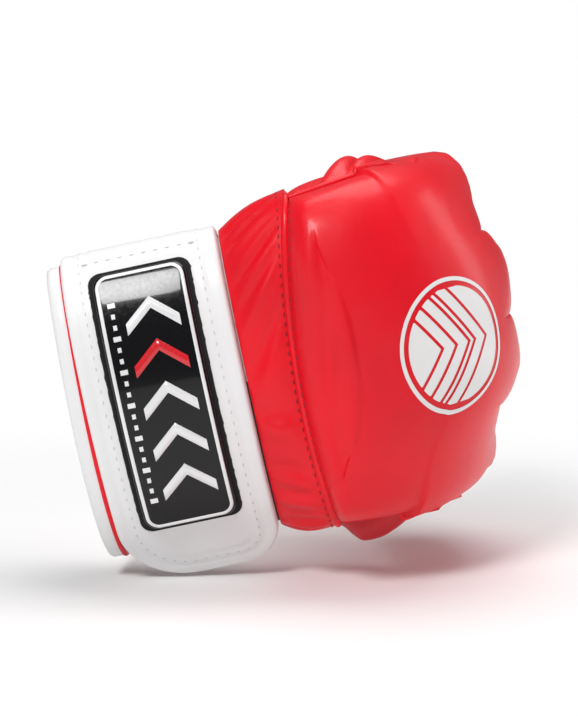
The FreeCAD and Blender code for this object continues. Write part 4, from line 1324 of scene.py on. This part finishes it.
def build_root_lining(finger):
    """Black lining where a sleeve's root faces the inside of the hand."""
    angles, share = arc_degrees(95, 265, 60), evenly(16, column=True)
    radius = 14.1 - 0.9 * share + 0.15 * soft_noise(angles * 4, share * 6)
    top = sleeve_point(finger, -3.0 + 15.5 * share, angles, radius)
    axis = sleeve_point(finger, 5.0, angles, 0.01)
    finish(closed_sheet(f"{finger.name}_root_lining", top, top + 0.03 * (axis - top)), BLACK,
           finger_blend(finger))


# ---- printed emblem -------------------------------------------------------------------

EMBLEM_RADIUS = 21.0
EMBLEM_ACROSS = -2.5
EMBLEM_TRAVEL = ARC_RADIUS * math.radians(35)
# The chevron stripes' feet and heights along the finger, from the emblem's middle.
STRIPES = ((-30, 13.5), (-15.2, 4.2), (-9.7, 4.2), (-4.2, 1.3), (-1.6, 4.2), (3.9, 40))


def strip_place(finger, points, travel, v):
    """Points on a finger's strip, by distance past the crown and place across."""
    travels = outer_line(finger)[0]
    column = np.interp(v, finger.centre + PAD_HALF * SPREAD, np.arange(len(SPREAD)))
    row = np.interp(travel, travels, np.arange(len(travels))) + RISE_ROWS
    left = np.clip(np.floor(column).astype(int), 0, len(SPREAD) - 2)
    low = np.clip(np.floor(row).astype(int), 0, len(points) - 2)
    share, part = (column - left)[:, None], (row - low)[:, None]
    return ((1 - part) * ((1 - share) * points[low, left] + share * points[low, left + 1])
            + part * ((1 - share) * points[low + 1, left] + share * points[low + 1, left + 1]))


def emblem_cells():
    """Quads of a plain ring and chevron stripes, as (across, along) corners."""
    turn = np.linspace(0, 2 * math.pi, 145)
    rim = EMBLEM_RADIUS - 1.3
    cells = [[(r * math.sin(angle), r * math.cos(angle))
              for r, angle in ((rim, a), (EMBLEM_RADIUS, a), (EMBLEM_RADIUS, b), (rim, b))]
             for a, b in zip(turn[:-1], turn[1:])]
    inner = EMBLEM_RADIUS - 2.9

    def span(x, low, tall):
        bound = math.sqrt(max(inner ** 2 - x * x, 0))
        base = low + 9.5 - abs(x) * 0.75
        return np.array([max(base, -bound), min(base + tall, bound)])

    places = np.linspace(-inner, inner, 87)
    for low, tall in STRIPES:
        for a, b in zip(places[:-1], places[1:]):
            ends = np.array([span(a, low, tall), span(b, low, tall)])
            heights = ends[:, 1] - ends[:, 0]
            if heights.min() <= 0.05:
                continue
            steps = max(1, int(heights.max()))
            for k in range(steps):
                near, far = ends[:, 0] + heights * k / steps, ends[:, 0] + heights * (k + 1) / steps
                cells.append([(a, near[0]), (a, far[0]), (b, far[1]), (b, near[1])])
    return cells


def clipped(corners, keep):
    """The part of a flat polygon on one side of the line between two fingers."""
    result = []
    for here, there in zip(corners, np.roll(corners, -1, 0)):
        inside_here, inside_there = here[0] * keep >= 0, there[0] * keep >= 0
        if inside_here:
            result.append(here)
        if inside_here != inside_there:
            result.append(here + here[0] / (here[0] - there[0]) * (there - here))
    return np.array(result)


def build_emblem(strips):
    """A plain printed emblem, divided at the seam between the middle and ring pads."""
    cells = [np.array(cell) + (EMBLEM_ACROSS, 0) for cell in emblem_cells()]
    for name, keep in (("middle", 1), ("ring", -1)):
        polygons = [part for part in (clipped(cell, keep) for cell in cells) if len(part) >= 3]
        v, along = np.concatenate(polygons).T
        travel = EMBLEM_TRAVEL + along * 0.98
        points, ahead, aside = (strip_place(HAND[name], strips[name], travel + forward, v + side)
                                for forward, side in ((0, 0), (0.5, 0), (0, 0.5 * keep)))
        normal = unit(np.cross(ahead - points, (aside - points) * keep))
        normal *= np.sign(normal[:, 2:])
        faces, count = [], 0
        for part in polygons:
            faces.append(cap(count, len(part)))
            count += len(part)
        finish(outward(new_object(f"emblem_{name}", points + 0.16 * normal, faces)), INK,
               finger_blend(HAND[name]))


# ---- build ----------------------------------------------------------------------------

def build_glove():
    shell_top, strips = build_shell()
    for build in (build_sleeve, build_finger_details, build_root_lining):
        for finger in HAND.values():
            build(finger)
    gauntlet_top = wrist_sleeve("gauntlet", -7, 215, 1.6, 1.6, RED, "gauntlet_cover", folds=0.9)
    cuff_top = wrist_sleeve("cuff_front", -115, -7, 1.8, 0.6, WHITE, folds=0.15)
    hem = [resample(cuff_top[:, column], 1.2) for column in (4, -5)]
    finish(stitches("cuff_front_stitches", [(line, line - (9, 0, 0)) for line in hem],
                    radius=0.27), WHITE_THREAD, "hand")
    wrist_sleeve("palm_heel", 215, 245, 1.6, 0.8, RED, folds=0.2)
    build_seam(shell_top, gauntlet_top)
    build_side_seams(strips)
    for build in (build_thumb_gusset, build_little_side, build_palm, build_thumb_trim,
                  build_hand_lining, build_cuff, build_strap, build_strap_stitches, build_badge,
                  build_loop_patch):
        build()
    build_emblem(strips)


build_glove()


# ---- stage ----------------------------------------------------------------------------

def link(item):
    bpy.context.scene.collection.objects.link(item)
    return item


def build_floor():
    """A pale floor that fades to plain white away from the glove."""
    material = bpy.data.materials.new("floor")
    material.use_nodes = True
    tree = material.node_tree
    surface = tree.nodes["Principled BSDF"]
    join(tree, surface, {"Base Color": (0.93, 0.93, 0.93, 1), "Roughness": 0.85})
    place = add_node(tree, "TexCoord", {}).outputs["Object"]
    reach = add_node(tree, "VectorMath", {0: place}, operation="LENGTH").outputs["Value"]
    fade = add_node(tree, "MapRange", {"From Min": 0.06, "From Max": 0.32, "Value": reach},
                    interpolation_type="SMOOTHSTEP").outputs["Result"]
    glow = add_node(tree, "Emission", {}).outputs["Emission"]
    mix = add_node(tree, "MixShader", {"Fac": fade, 1: surface.outputs["BSDF"], 2: glow})
    join(tree, tree.nodes["Material Output"], {"Surface": mix.outputs["Shader"]})
    mesh = bpy.data.meshes.new("floor")
    mesh.from_pydata([(-4, -4, 0), (4, -4, 0), (4, 4, 0), (-4, 4, 0)], [], [(0, 1, 2, 3)])
    mesh.materials.append(material)
    link(bpy.data.objects.new("floor", mesh))


def build_world():
    """White surroundings that the camera sees bright and the glove sees dim."""
    world = bpy.data.worlds.new("studio")
    world.use_nodes = True
    tree = world.node_tree
    sight = add_node(tree, "LightPath", {}).outputs["Is Camera Ray"]
    level = add_node(tree, "MapRange", {"To Min": 0.17, "To Max": 1.0, "Value": sight})
    join(tree, tree.nodes["Background"], {"Color": (1, 1, 1, 1),
                                          "Strength": level.outputs["Result"]})
    bpy.context.scene.world = world


def build_lights_and_camera():
    low, high = (Vector(corner) for corner in CAD_BOX)
    middle = (low + high) / 2

    def aimed(name, data, offset):
        item = link(bpy.data.objects.new(name, data))
        item.location = middle + Vector(offset)
        item.rotation_euler = (middle - item.location).to_track_quat("-Z", "Y").to_euler()
        return item

    for name, offset, size, energy in (
            ("key_light", (-0.35, -0.75, 0.75), (0.30, 0.30), 7.6),
            ("top_light", (0.1, 0.15, 0.95), (0.8, 0.5), 5.6),
            ("rim_light", (0.85, 0.15, 0.25), (0.25, 0.8), 2.8)):
        data = bpy.data.lights.new(name, "AREA")
        data.shape = "RECTANGLE"
        data.size, data.size_y = size
        data.energy = energy
        aimed(name, data, offset)
    data = bpy.data.cameras.new("camera")
    data.lens = 90
    data.sensor_width = 36
    elevation, distance = math.radians(7), 0.60
    bpy.context.scene.camera = aimed("camera", data, (
        0, -distance * math.cos(elevation), distance * math.sin(elevation)))


build_floor()
build_world()
build_lights_and_camera()
bpy.context.scene.view_settings.view_transform = "Standard"
